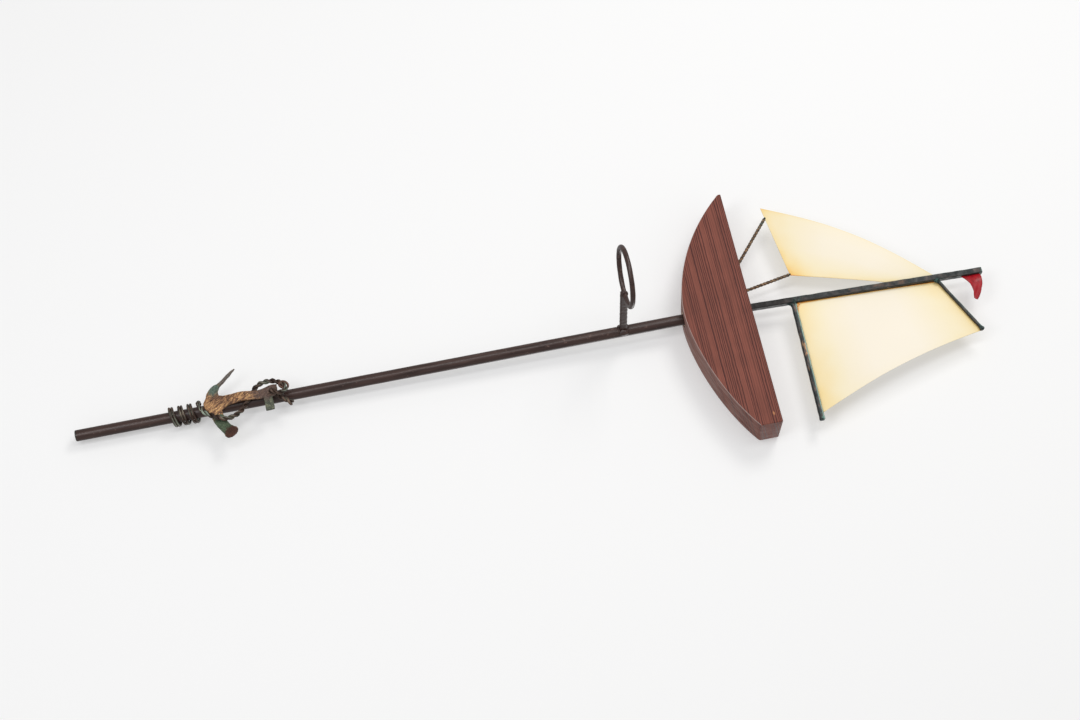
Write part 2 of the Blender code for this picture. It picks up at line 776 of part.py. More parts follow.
def build_arm_aft():
    """Stern-side arm: flat, bent to the front at its rounded palm."""
    rows = (
        (0.0084, 0.0000, 0.0126, 0.0062, 0.00, 0.00150),
        (0.0134, 0.0000, 0.0142, 0.0060, 0.00, 0.00150),
        (0.0196, 0.0000, 0.0160, 0.0058, 0.00, 0.00150),
        (0.0258, -0.0004, 0.0188, 0.0056, 0.00, 0.00150),
        (0.0312, -0.0016, 0.0222, 0.0060, 0.00, 0.00140),
        (0.0356, -0.0034, 0.0252, 0.0064, 0.00, 0.00130),
        (0.0392, -0.0052, 0.0276, 0.0058, 0.00, 0.00120),
        (0.0414, -0.0064, 0.0292, 0.0038, 0.00, 0.00110),
    )
    return arm_from_rows("anchor_arm_aft", rows, Vector((0.0, -1.0, 0.0)))


def arm_from_rows(name, rows, edge_on):
    """Arm of the anchor from its rows of sizes."""
    middles = [Vector((r[0], crown_y + r[1], ANCHOR_HEIGHT + r[2])) for r in rows]
    stations = []
    for k, row in enumerate(rows):
        ahead = middles[min(k + 1, len(rows) - 1)]
        behind = middles[max(k - 1, 0)]
        way = (ahead - behind).normalized()
        if k == 0:
            way = Vector((math.copysign(1.0, row[0]), 0.0, 0.0))
        flat = way.cross(Vector((0.0, 1.0, 0.0))).normalized()
        turned_up = (edge_on - way * edge_on.dot(way)).normalized()
        if flat.dot(turned_up) < 0 and row[4] > 0:
            flat = -flat
        wide = (flat * (1 - row[4]) + turned_up * row[4]).normalized()
        wide = (wide - way * wide.dot(way)).normalized()
        thick = way.cross(wide).normalized()
        stations.append((middles[k], wide * row[3], thick * row[5]))
    mesh = forged_strip(name, stations)
    return place(name, mesh, COPPER, 0.7, 0.5, middles[0])


def build_stock():
    """Short flat bar standing out from the shank's head."""
    length, thick, wide = STOCK_SIZE
    start = 0.0056
    y = plate_y(0.0712) + 0.0002
    z = ANCHOR_HEIGHT + 0.0712
    mesh = bar_mesh("anchor_stock", (start, y, z), (start + length, y + 0.0006, z + 0.0006),
                    wide, thick, Vector((0, 0, 1)))
    obj = place("anchor_stock", mesh, COPPER, 0.7, 0.5, (start, y, z))
    soften(obj, 0.0005)
    return obj


def wire_route():
    """Middle line of the lashing wire, from its foot end to its tail."""
    route = []
    first = -math.pi
    last = 2 * math.pi * (WRAP_TURNS - 0.30)
    steps = 60
    base = ANCHOR_HEIGHT - 0.0388
    for k in range(steps + 1):
        t = first + (last - first) * k / steps
        z = base + WRAP_PITCH * t / (2 * math.pi)
        route.append(Vector((-wrap_radius * math.cos(t), -wrap_radius * math.sin(t), z)))
    over = crown_y - PLATE / 2 - WIRE_DIAMETER / 2 - 2 * GAP
    behind = -(pole_radius + WIRE_DIAMETER / 2 + GAP)
    eye = eye_centre()
    h = ANCHOR_HEIGHT
    knots = [
        route[-1],
        Vector((0.0062, over - 0.0002, h - 0.0018)),
        Vector((0.0110, over - 0.0003, h + 0.0042)),
        Vector((0.0160, over - 0.0008, h + 0.0124)),
        Vector((0.0196, over - 0.0010, h + 0.0207)),
        Vector((0.0190, over - 0.0002, h + 0.0292)),
        Vector((0.0144, over + 0.0022, h + 0.0370)),
        Vector((0.0080, behind, h + 0.0430)),
        Vector((0.0004, behind, h + 0.0484)),
        Vector((-0.0064, behind - 0.0004, h + 0.0536)),
        Vector((-0.0114, behind - 0.0024, h + 0.0586)),
        Vector((-0.0142, behind - 0.0044, h + 0.0652)),
        Vector((-0.0144, behind - 0.0062, h + 0.0732)),
        Vector((-0.0124, behind - 0.0076, h + 0.0814)),
        Vector((-0.0074, behind - 0.0086, h + 0.0884)),
        Vector((-0.0016, behind - 0.0094, h + 0.0918)),
        Vector((0.0034, behind - 0.0104, h + 0.0886)),
        Vector((0.0030, behind - 0.0112, h + 0.0816)),
        Vector((0.0002, eye.y - 0.0060, eye.z + 0.0010)),
        Vector((eye.x, eye.y - 0.0028, eye.z)),
        Vector((eye.x, eye.y, eye.z)),
        Vector((eye.x, eye.y + 0.0022, eye.z + 0.0001)),
        Vector((0.0004, behind - 0.0001, eye.z + 0.0034)),
        Vector((0.0052, behind - 0.0006, eye.z + 0.0090)),
        Vector((0.0094, behind - 0.0008, eye.z + 0.0142)),
        Vector((0.0150, behind - 0.0004, eye.z + 0.0206)),
    ]
    smooth_knots = []
    for k in range(len(knots) - 1):
        p0 = knots[max(k - 1, 0)]
        p1 = knots[k]
        p2 = knots[k + 1]
        p3 = knots[min(k + 2, len(knots) - 1)]
        pieces = max(1, round((p2 - p1).length / 0.0030))
        for s in range(pieces):
            t = s / pieces
            smooth_knots.append(
                0.5 * ((2 * p1) + (p2 - p0) * t + (2 * p0 - 5 * p1 + 4 * p2 - p3) * t ** 2
                       + (3 * p1 - p0 - 3 * p2 + p3) * t ** 3))
    smooth_knots.append(knots[-1])
    return route[:-1] + smooth_knots


def build_wire():
    """Twisted wire kept as one plain round cord along its whole route."""
    route = wire_route()
    data = bpy.data.curves.new("lashing_wire", "CURVE")
    data.dimensions = "3D"
    data.resolution_u = 1
    data.render_resolution_u = 0
    data.bevel_depth = WIRE_DIAMETER / 2
    data.bevel_resolution = 2
    data.use_fill_caps = True
    spline = data.splines.new("POLY")
    spline.points.add(len(route) - 1)
    for point, p in zip(spline.points, route):
        point.co = (p.x, p.y, p.z, 1.0)
    obj = bpy.data.objects.new("wire_curve", data)
    parts.objects.link(obj)
    mesh = frozen(obj)
    bpy.data.objects.remove(obj, do_unlink=True)
    bm = bmesh.new()
    bm.from_mesh(mesh)
    bmesh.ops.remove_doubles(bm, verts=bm.verts, dist=1e-6)
    bmesh.ops.recalc_face_normals(bm, faces=bm.faces)
    bm.to_mesh(mesh)
    bm.free()
    return place("lashing_wire", mesh, PATINA, 0.8, 0.5, route[0])


# ------------------------------------------------------------ put together
build_pole()
build_ball()
build_bush()
build_disc()
build_hull()
build_mast()
build_boom()
build_gaff()
build_mainsail()
build_jib()
build_pennant()
build_struts()
build_ring()
build_ring_arm()
build_shank()
build_arm_fore()
build_arm_aft()
build_stock()
build_wire()
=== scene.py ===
# %% [markdown]
# # Weather vane: a sailing boat on a pole
#
# The solid parts come in as a fixed frame. This lesson dresses each of them:
# a painted round pole, a stained softwood hull, patinated square bars,
# airbrushed sheet sails, a little forged anchor and its twisted lashing wire.
# All lengths are metres. +Z runs up the pole, the bow points to -X, and the
# side with the ring and the anchor faces -Y.

import math

import bpy
import numpy as np
from mathutils import Matrix, Vector


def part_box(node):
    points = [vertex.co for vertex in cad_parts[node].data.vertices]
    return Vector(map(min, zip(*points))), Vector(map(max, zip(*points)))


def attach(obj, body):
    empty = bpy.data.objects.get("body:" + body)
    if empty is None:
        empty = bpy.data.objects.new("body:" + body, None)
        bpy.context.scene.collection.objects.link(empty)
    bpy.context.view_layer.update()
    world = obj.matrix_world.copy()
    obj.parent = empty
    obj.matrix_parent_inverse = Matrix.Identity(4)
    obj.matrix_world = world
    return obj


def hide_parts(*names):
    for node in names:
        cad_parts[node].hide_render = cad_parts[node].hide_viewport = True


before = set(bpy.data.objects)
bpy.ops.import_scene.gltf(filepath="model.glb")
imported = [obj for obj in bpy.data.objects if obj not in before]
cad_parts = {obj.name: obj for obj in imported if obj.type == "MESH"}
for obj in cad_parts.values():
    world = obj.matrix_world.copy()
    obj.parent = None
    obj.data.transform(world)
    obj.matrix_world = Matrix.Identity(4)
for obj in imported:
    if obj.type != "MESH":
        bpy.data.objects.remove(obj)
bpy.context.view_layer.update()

# %% [markdown]
# ## Colours and one way to add a node
#
# Paint charts and screens give colours as sRGB hex. Shaders want linear
# light, so one function turns one into the other. Every material below is
# built with one small function that adds a node, sets it and links it.

# %% Colour and node helpers


def paint(text, alpha=1.0):
    """sRGB hex to linear: c/12.92 below 0.04045, else ((c+0.055)/1.055)^2.4."""
    parts = [int(text[i:i + 2], 16) / 255 for i in (0, 2, 4)]
    line = [c / 12.92 if c <= 0.04045 else ((c + 0.055) / 1.055) ** 2.4 for c in parts]
    return (*line, alpha)


def feed(node, inputs):
    """Set inputs by value, or link them to the socket or the node that feeds them.

    A node stands for its own result, which a colour mix keeps in its third socket.
    From and To take both ends of a range, (least, most).
    """
    for end in ("From", "To"):
        if end in inputs:
            least, most = inputs[end]
            inputs = {**inputs, end + " Min": least, end + " Max": most}
            del inputs[end]
    for name, value in inputs.items():
        socket = node.inputs[name]
        if isinstance(value, bpy.types.Node):
            value = value.outputs[2 if value.bl_idname == "ShaderNodeMix" else 0]
        if isinstance(value, bpy.types.NodeSocket):
            node.id_data.links.new(value, socket)
        else:
            socket.default_value = value


def add(tree, kind, inputs=None, stops=None, **settings):
    """One shader node with its settings and inputs.

    stops are the places on a colour ramp, each with a colour or a plain number.
    Every Mix here mixes colours.
    """
    made = tree.nodes.new("ShaderNode" + kind)
    if kind == "Mix":
        made.data_type = "RGBA"
    for name, value in settings.items():
        setattr(made, name, value)
    feed(made, inputs or {})
    if stops:
        ramp = made.color_ramp
        while len(ramp.elements) < len(stops):
            ramp.elements.new(0.5)
        for element, (place, colour) in zip(ramp.elements, stops):
            element.position = place
            element.color = colour if isinstance(colour, tuple) else (colour, colour, colour, 1.0)
    return made


def new_material(name, **sockets):
    """Empty material with a Principled shader; fixed numbers set on its sockets."""
    made = bpy.data.materials.new(name)
    made.use_nodes = True
    shader = made.node_tree.nodes["Principled BSDF"]
    for label, value in sockets.items():
        shader.inputs[label.replace("_", " ")].default_value = value
    return made, made.node_tree, shader


# %% [markdown]
# ## Surfaces from numbers
#
# A shape here is a grid of points, worked out as one array from two
# parameters: along and around. One function turns such a grid into a closed
# mesh and lays a UV map over it whose units are real metres, so a streak
# of rust or a brush mark follows the bar it is on.

# %% Grid to mesh


def norm(v):
    """Vectors divided by their own length."""
    v = np.asarray(v, float)
    return v / np.linalg.norm(v, axis=-1, keepdims=True)


def face_out(mesh, points, quads):
    """Turn the faces where the signed volume, sum of a . (b x c) / 6, is negative."""
    a, b, c, d = (points[quads[:, k]] for k in range(4))
    if (np.cross(a, b) * c).sum() + (np.cross(a, c) * d).sum() < 0:
        mesh.flip_normals()


def vertex_rows(mesh, kind="co"):
    """Three numbers for each vertex: its place, or its normal."""
    row = np.empty(len(mesh.vertices) * 3)
    mesh.vertices.foreach_get(kind, row)
    return row.reshape(-1, 3)


def surface(name, points, around=True, along=False, ends=True, uv=None, sharp=40.0):
    """Mesh of points[i, j] as quads between neighbours in i and in j.

    around closes j on itself, along closes i, ends puts a fan on both ends.
    uv[i, j] is the place on the pattern, one column wider where j closes.
    """
    rows, cols = points.shape[:2]
    i = np.arange(rows if along else rows - 1)[:, None]
    j = np.arange(cols if around else cols - 1)[None, :]
    ni, nj = (i + 1) % rows, (j + 1) % cols
    quads = np.stack(np.broadcast_arrays(i * cols + j, i * cols + nj, ni * cols + nj, ni * cols + j),
        -1)
    quads = quads.reshape(-1, 4)
    verts = points.reshape(-1, 3)
    faces = quads.tolist()
    if ends:
        verts = np.concatenate([verts, points[0].mean(0)[None], points[-1].mean(0)[None]])
        ring = np.arange(cols)
        step = (ring + 1) % cols
        first, last = rows * cols, rows * cols + 1
        faces += np.stack([step, ring, np.full(cols, first)], 1).tolist()
        high = (rows - 1) * cols
        faces += np.stack([high + ring, high + step, np.full(cols, last)], 1).tolist()
    mesh = bpy.data.meshes.new(name)
    mesh.from_pydata(verts.tolist(), [], faces)
    if uv is not None:
        u, v = (index.ravel() for index in np.broadcast_arrays(i, j))
        corner = np.stack([uv[u, v], uv[u, v + 1], uv[u + 1, v + 1], uv[u + 1, v]], 1).reshape(-1, 2)
        spare = len(mesh.loops) - len(corner)
        cap = np.concatenate([np.repeat(uv[0, :1], spare // 2, 0),
            np.repeat(uv[-1, :1], spare - spare // 2, 0)])
        layer = mesh.uv_layers.new(name="place")
        layer.data.foreach_set("uv", np.concatenate([corner, cap]).astype(np.float32).ravel())
    if ends or along:
        face_out(mesh, verts, quads)
    return dress(mesh, sharp)


def dress(mesh, sharp=40.0):
    """Object for a mesh: smooth faces, with edges sharper than the angle kept."""
    mesh.shade_smooth()
    mesh.set_sharp_from_angle(angle=math.radians(sharp))
    made = bpy.data.objects.new(mesh.name, mesh)
    bpy.context.scene.collection.objects.link(made)
    return made


def settled(piece):
    """Replace a piece's mesh by what its modifiers make of it."""
    bpy.context.view_layer.update()
    graph = bpy.context.evaluated_depsgraph_get()
    mesh = bpy.data.meshes.new_from_object(piece.evaluated_get(graph))
    piece.modifiers.clear()
    old = piece.data
    piece.data = mesh
    bpy.data.meshes.remove(old)
    mesh.name = piece.name
    return mesh


def uneven(points, wavelength, height, seed):
    """Hand-made unevenness: height * sum of nine sine waves / 3.

    Each wave runs in its own seeded direction with about the given wavelength.
    """
    rng = np.random.default_rng(seed)
    ways = norm(rng.normal(size=(9, 3)))
    waves = ways * (2 * math.pi / wavelength * rng.uniform(0.6, 1.7, 9))[:, None]
    phase = rng.uniform(0, 2 * math.pi, 9)
    return height * np.sin(points @ waves.T + phase).sum(-1) / 3


def finish(piece, material, body, slot, *nodes):
    """Give the piece its material, put it on its body, and hide the frame's parts it stands for."""
    piece.data.materials.clear()
    piece.data.materials.append(material)
    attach(piece, body)
    if nodes:
        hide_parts(*nodes)
    triangles = sum(len(face.vertices) - 2 for face in piece.data.polygons)
    print(f"{piece.name}: {triangles} triangles on {body}")


# %% [markdown]
# ## Curves that pass through points
#
# Bent wire and forged bars are easiest to describe by a few knots. A
# Catmull-Rom curve passes through every knot and keeps its tangent smooth.

# %% Curves and frames


def through(knots, per):
    """Catmull-Rom curve through the knots, per samples to a span.

    p(t) = (2 b + (c-a) t + (2a-5b+4c-d) t^2 + (3b-a-3c+d) t^3) / 2
    """
    knots = np.asarray(knots, float)
    padded = np.concatenate([2 * knots[:1] - knots[1:2], knots, 2 * knots[-1:] - knots[-2:-1]])
    a, b, c, d = (padded[k:len(knots) - 1 + k, None] for k in range(4))
    t = (np.arange(per) / per).reshape(1, per, *([1] * (knots.ndim - 1)))
    curve = (2 * b + (c - a) * t + (2 * a - 5 * b + 4 * c - d) * t ** 2 + (
        3 * b - a - 3 * c + d) * t ** 3) / 2
    return np.concatenate([curve.reshape(-1, *knots.shape[1:]), knots[-1:]])


def even(line, step):
    """The same line with its points about one step apart."""
    length = np.concatenate([[0], np.cumsum(np.linalg.norm(np.diff(line, axis=0), axis=1))])
    count = max(2, int(round(length[-1] / step)) + 1)
    place = np.linspace(0, length[-1], count)
    return np.stack([np.interp(place, length, line[:, k]) for k in range(3)], 1), place


def frames(line):
    """Two cross directions that do not spin along the line."""
    tangent = norm(np.gradient(line, axis=0))
    side = np.empty_like(tangent)
    start = np.eye(3)[np.argmin(np.abs(tangent[0]))]
    side[0] = norm(np.cross(tangent[0], start))
    for k in range(1, len(line)):
        flat = side[k - 1] - tangent[k] * (side[k - 1] @ tangent[k])
        side[k] = flat / np.linalg.norm(flat)
    return side, np.cross(tangent, side)


def rays(side, up, count):
    """Directions side cos a + up sin a, for a once round in count steps."""
    a = np.linspace(0, 2 * math.pi, count, endpoint=False)
    return np.cos(a)[None, :, None] * side[:, None] + np.sin(a)[None, :, None] * up[:, None]


# %% [markdown]
# ## Where things are
#
# Heights and slopes of the real object, worked out once. The deck falls a
# little to the stern, and the mast leans a little the same way.

# %% Places
deck_height = 0.7660
deck_fall = math.radians(0.9)
rake = math.radians(1.93)
pole_radius = 0.00635
hull_low, hull_high = (np.array(v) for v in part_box("hull"))
keel_height = hull_low[2]
bow_x, stern_x = hull_low[0], hull_high[0]
hull_depth = deck_height - keel_height
print("hull depth", round(hull_depth, 4), "bow", round(bow_x, 4), "stern", round(stern_x, 4))


def deck_z(x):
    """Height of the deck at x: a straight line falling aft."""
    return deck_height - math.tan(deck_fall) * x


mast_foot = np.array([0.0008, 0.0, deck_z(0.0008)])
mast_way = np.array([math.sin(rake), 0.0, math.cos(rake)])
aft_way = np.array([math.cos(rake), 0.0, -math.sin(rake)])
front_way = np.array([0.0, -1.0, 0.0])


def on_mast(height, side):
    """Point in the mast's middle plane: height above deck, side towards the stern."""
    return mast_foot + mast_way * (height / math.cos(rake)) + aft_way * side


boom_fall = math.radians(2.9)
gaff_rise = math.radians(23.7)
boom_way = np.array([math.cos(boom_fall), 0.0, -math.sin(boom_fall)])
boom_over = np.array([math.sin(boom_fall), 0.0, math.cos(boom_fall)])
gaff_way = np.array([math.cos(gaff_rise), 0.0, math.sin(gaff_rise)])
gaff_over = np.array([-math.sin(gaff_rise), 0.0, math.cos(gaff_rise)])
mast_height, mast_side = 0.2755, 0.0066
boom_height, gaff_height = 0.0530, 0.2209
boom_root, boom_length, boom_side = on_mast(boom_height, 0.0), 0.1510, 0.0056
gaff_root, gaff_length, gaff_side = on_mast(gaff_height, 0.0), 0.0820, 0.0034

# %% [markdown]
# ## Camera, table and light
#
# The vane lies on a white table and is seen from above, a little from the
# stern's side. Its pole runs across the view, so the camera is rolled. The
# table is a plane behind the vane. It rests on the lowest turn of wire and on
# the hull's back edge, which is how the real one lies. Seen from behind, the
# table lets the eye through, so that the vane can be looked at from all sides.

# %% Camera
camera_place = Vector((0.83155, -1.72492, 0.36623))
looking = Vector((-0.42612, 0.90105, 0.08078)).normalized()
view_right = looking.cross(Vector((-0.88129, -0.43362, 0.1879))).normalized()
view_up = view_right.cross(looking)
lens = bpy.data.cameras.new("camera")
lens.lens = 56.67
lens.sensor_width = 36.0
camera = bpy.data.objects.new("camera", lens)
bpy.context.scene.collection.objects.link(camera)
axes = [[view_right[k], view_up[k], -looking[k], camera_place[k]] for k in range(3)]
camera.matrix_world = Matrix([*axes, [0.0, 0.0, 0.0, 1.0]])
bpy.context.scene.camera = camera
print("camera stands", round(camera_place.length, 3), "m from the foot")

# %% Table
wire_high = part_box("lashing_wire")[1]
wrap_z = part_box("lashing_wire")[0][2]
slope = (hull_high[1] - wire_high[1]) / (keel_height - wrap_z)
table_gap = 0.0008


def table_y(z):
    """The table's surface at height z, where the vane rests on it."""
    return wire_high[1] + slope * (z - wrap_z) + table_gap


reach = 4.0
corners = [(-reach, -reach), (reach, -reach), (reach, reach), (-reach, reach)]
sheet = bpy.data.meshes.new("table")
sheet.from_pydata([(x, table_y(z), z) for x, z in corners], [], [(0, 1, 2, 3)])
table = bpy.data.objects.new("table", sheet)
bpy.context.scene.collection.objects.link(table)
table_white = bpy.data.materials.new("white_laminate")
table_white.use_nodes = True
tree = table_white.node_tree
tree.nodes.clear()
lit = add(tree, "BsdfDiffuse", {"Color": paint("CECECE")})
glow = add(tree, "Emission", {"Color": paint("FFFFFF"), "Strength": 0.32})
plain = add(tree, "AddShader", {0: lit, 1: glow})
see_through = add(tree, "BsdfTransparent")
side_seen = add(tree, "NewGeometry")
both = add(tree, "MixShader", {"Fac": side_seen.outputs["Backfacing"], 1: plain, 2: see_through})
add(tree, "OutputMaterial", {"Surface": both})
sheet.materials.append(table_white)
table.visible_shadow = False
table.visible_diffuse = False
table.visible_glossy = False
print("table slope", round(math.degrees(math.atan(slope)), 2), "degrees; faces",
    sheet.polygons[0].normal[:])

# %% Light
bpy.context.scene.view_settings.view_transform = "Standard"
world = bpy.data.worlds.new("studio")
world.use_nodes = True
world.node_tree.nodes["Background"].inputs["Color"].default_value = paint("FFFFFF")
world.node_tree.nodes["Background"].inputs["Strength"].default_value = 0.46
bpy.context.scene.world = world


def softbox(name, towards, distance, wide, tall, power, tint):
    """Area light looking at the middle of the vane; tall runs along the pole."""
    middle = Vector((0.0, 0.0, 0.60))
    way = Vector(towards).normalized()
    across = Vector((0.0, 0.0, 1.0)).cross(way).normalized()
    along = way.cross(across)
    data = bpy.data.lights.new(name, "AREA")
    data.shape = "RECTANGLE"
    data.size, data.size_y = wide, tall
    data.energy = power
    data.color = paint(tint)[:3]
    made = bpy.data.objects.new(name, data)
    place = middle + way * distance
    made.matrix_world = Matrix([[across[k], along[k], way[k], place[k]] for k in range(3)] + [[0, 0, 0,
        1]])
    bpy.context.scene.collection.objects.link(made)


softbox("head_window", (-0.55, -1.0, 0.55), 2.6, 0.9, 0.9, 20.0, "FFFDFA")
softbox("foot_window", (0.25, -1.0, -0.65), 2.4, 0.7, 0.7, 9.0, "FBFCFF")
softbox("strip_above", (-0.02, -1.0, 0.05), 2.2, 0.35, 2.4, 13.0, "FFFFFF")
softbox("back_fill", (0.3, 1.0, 0.3), 2.6, 1.6, 1.6, 16.0, "FFFFFF")

# %% [markdown]
# ## Brown satin paint
#
# Steel bar painted dark brown with a brush or a spray can: a satin paint film
# over hot-rolled steel. It gives the eye a soft long highlight, faint streaks
# along the bar, and lighter rubbed flecks. Streaks are 2 to 40 mm long, which
# is what the pattern scales below are worked out from.

# %% Brown paint material


def brown_paint():
    """Satin paint: streaks along the bar, rubbed flecks, a dark sawn foot."""
    made, tree, shader = new_material("satin_brown_paint", Metallic=0.0, Specular_IOR_Level=0.5)
    where = add(tree, "TexCoord").outputs["Object"]
    stretch = add(tree, "Mapping", {"Vector": where, "Scale": (420.0, 420.0, 26.0)})
    streak = add(tree, "TexNoise", {"Vector": stretch, "Scale": 1.0, "Detail": 5.0, "Roughness": 0.6})
    shade = add(tree, "ValToRGB", {"Fac": streak}, stops=[(0.28, paint("25140F")),
        (0.48, paint("3A2621")), (0.62, paint("432E28")), (0.80, paint("5A453E"))])
    fleck = add(tree, "TexNoise", {"Vector": where, "Scale": 260.0, "Detail": 3.0})
    rub = add(tree, "MapRange", {"Value": fleck, "From": (0.66, 0.74), "To Max": 0.55})
    worn = add(tree, "Mix", {"Factor": rub, "A": shade, "B": paint("7A625A")})
    height = add(tree, "SeparateXYZ", {0: where})
    foot = add(tree, "MapRange", {"Value": height.outputs["Z"], "From": (0.0004, 0.0022),
        "To": (0.85, 0.0)})
    sawn = add(tree, "Mix", {"Factor": foot, "A": worn, "B": paint("1D2A28")})
    gloss = add(tree, "MapRange", {"Value": streak, "To": (0.26, 0.44)})
    peel = add(tree, "Bump", {"Height": streak, "Strength": 0.25, "Distance": 0.0004})
    feed(shader, {"Base Color": sawn, "Roughness": gloss, "Normal": peel})
    return made


brown = brown_paint()

# %% [markdown]
# ## The pole
#
# A plain 12.7 mm round bar. A turned cylinder would do, but bar stock that
# has been painted by hand is never quite true, so the radius wanders by a few
# hundredths of a millimetre and the sawn foot has a softened edge.

# %% Pole


def rounded_end(total, radius, count, half):
    """Places along a bar and its shrink there: both ends are quarter circles.

    place = radius (1 - cos f), inset = radius (1 - sin f), f from 0 to 90 degrees.
    """
    f = np.linspace(0.0, math.pi / 2, 6)
    start, inset = radius * (1 - np.cos(f)), radius * (1 - np.sin(f))
    middle = np.linspace(radius, total - radius, count)[1:-1]
    places = np.concatenate([start, middle, (total - start)[::-1]])
    shrink = np.concatenate([inset, np.zeros(len(middle)), inset[::-1]])
    return places, 1 - shrink / half


def round_bar(name, start, way, length, radius, seed, wander, around=56, count=220):
    """Circle carried along a straight line: middle + radius (side cos a + up sin a)."""
    place, shrink = rounded_end(length, 0.0007, count, radius)
    angle = np.linspace(0, 2 * math.pi, around, endpoint=False)
    side = norm(np.cross(way, [0.3, 1.0, 0.2]))
    ring = np.cos(angle)[:, None] * side + np.sin(angle)[:, None] * np.cross(way, side)
    middle = start + place[:, None] * way
    points = middle[:, None] + (radius * shrink)[:, None, None] * ring[None]
    points = points + uneven(points, 0.03, wander, seed)[..., None] * ring[None]
    uv = np.stack(np.broadcast_arrays(place[:, None], np.linspace(0, 2 * math.pi * radius, around + 1)),
        -1)
    return surface(name, points, uv=uv)


pole_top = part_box("pole")[1][2]
pole_way = np.array([0.0, 0.0, 1.0])
pole = round_bar("pole_bar", np.zeros(3), pole_way, pole_top, pole_radius - 0.00004, 11, 0.00003,
    count=300)
finish(pole, brown, "post", "brown_paint", "pole")

# %% [markdown]
# ## The holder ring and its arm
#
# A square bar is welded to the pole and a round rod, bent to a ring, is
# welded to its end. Square stock has small round corners, so its outline is a
# superellipse, |x|^7 + |y|^7 = 1: flat sides that turn over softly.

# %% Square bars


def squarish(power, around):
    """Superellipse of half width one: cos and sin with their size to the power 2/p."""
    angle = np.linspace(0, 2 * math.pi, around, endpoint=False) + math.pi / around
    c, s = np.cos(angle), np.sin(angle)
    return np.stack([np.sign(c) * np.abs(c) ** (2 / power), np.sign(s) * np.abs(s) ** (2 / power)], 1)


def square_bar(name, start, end, side, first, seed, power=7.0, knob=0.0, edge=0.0009, wander=0.00010):
    """Superellipse carried along a line, with softened ends and a swollen far end.

    swell = 1 + knob exp(-((distance to the end - 2 mm) / 2.2 mm)^2)
    """
    start, end = np.asarray(start, float), np.asarray(end, float)
    length = np.linalg.norm(end - start)
    way = (end - start) / length
    a = norm(np.asarray(first, float) - way * np.dot(first, way))
    b = np.cross(way, a)
    place, shrink = rounded_end(length, edge, max(24, int(length / 0.0014)), side / 2)
    swell = 1 + knob * np.exp(-((length - place - 0.002) / 0.0022) ** 2)
    outline = squarish(power, 40)
    ring = outline[:, :1] * a + outline[:, 1:] * b
    middle = start + place[:, None] * way
    points = middle[:, None] + (side / 2 * shrink * swell)[:, None, None] * ring[None]
    points = points + uneven(points, 0.012, wander, seed)[..., None] * norm(ring)[None]
    uv = np.stack(np.broadcast_arrays(place[:, None], np.linspace(0, 4 * side, 41)), -1)
    return surface(name, points, uv=uv, sharp=60.0)


def flat_bar(name, start, end, wide, thick, first, seed, count=26):
    """Superellipse with two different half widths carried along a line."""
    start, end = np.asarray(start, float), np.asarray(end, float)
    way = norm(end - start)
    length = np.linalg.norm(end - start)
    a = norm(np.asarray(first, float) - way * np.dot(first, way))
    b = np.cross(way, a)
    place, shrink = rounded_end(length, 0.0006, count, thick / 2)
    outline = squarish(6.5, 44)
    ring = outline[:, :1] * a * wide / 2 + outline[:, 1:] * b * thick / 2
    inset = (1 - shrink) * thick / 2
    scale = 1 - inset[:, None, None] / (wide / 2)
    points = (start + place[:, None] * way)[:, None] + ring[None] * scale
    points = points + uneven(points, 0.006, 0.00014, seed)[..., None] * norm(ring)[None]
    return surface(name, points, sharp=60.0)


ring_turn, ring_rise = math.radians(5.9), math.radians(1.8)
ring_out = np.array([-math.sin(ring_turn), -math.cos(ring_turn), 0.0])
arm_side, arm_height, ring_height = 0.0068, 0.6209, 0.6222
ring_reach, ring_radius, ring_rod = 0.1088, 0.0327, 0.0056
arm_foot = np.array([0.0, 0.0, arm_height - 0.0004])
arm = flat_bar("ring_arm_bar", arm_foot + ring_out * (pole_radius - 0.001),
    arm_foot + ring_out * (ring_reach - ring_radius + ring_rod * 0.2), 0.0082, arm_side,
    (math.sin(math.radians(9)), 0, math.cos(math.radians(9))), 21, count=50)
finish(arm, brown, "post", "brown_paint", "ring_arm")

# %% Ring


def bent_ring():
    """Rod carried round a circle: centre + (R + r cos b) ray(a) + r sin b up, tilted.

    The radius of the rod is a little uneven, and swells where its ends meet.
    """
    a = np.linspace(0, 2 * math.pi, 144, endpoint=False)
    b = np.linspace(0, 2 * math.pi, 24, endpoint=False)
    across = np.array([-ring_out[1], ring_out[0], 0.0])
    up = np.array([0.0, 0.0, 1.0])
    out = ring_out * math.cos(ring_rise) + up * math.sin(ring_rise)
    over = up * math.cos(ring_rise) - ring_out * math.sin(ring_rise)
    ray = np.cos(a)[:, None] * out + np.sin(a)[:, None] * across
    meet = np.exp(-((a - math.pi) / 0.05) ** 2) * 0.10 - np.exp(-((a - math.pi) / 0.012) ** 2) * 0.28
    rod = ring_rod / 2 * (1 + meet)
    points = ray[:, None] * ring_radius + rod[:, None, None] * (np.cos(b)[None, :, None] * ray[:,
        None] + np.sin(b)[None, :, None] * over)
    centre = ring_out * ring_reach + np.array([0.0, 0.0, ring_height])
    points = points + centre
    push = uneven(points, 0.02, 0.00006, 5)[..., None]
    way = np.cos(b)[None, :, None] * ray[:, None] + np.sin(b)[None, :, None] * over
    return surface("holder_ring_rod", points + push * way, along=True, ends=False)


finish(bent_ring(), brown, "post", "brown_paint", "holder_ring")

# %% [markdown]
# ## Weld beads
#
# Where bars meet, a hand-laid weld leaves a rippled bead. Around the arm's
# foot it follows the curve of the pole. A tube carried round that line, with
# its thickness rippling every 1.5 mm or so, gives it; a lump is a ball with
# three different half widths and an uneven skin.

# %% Beads


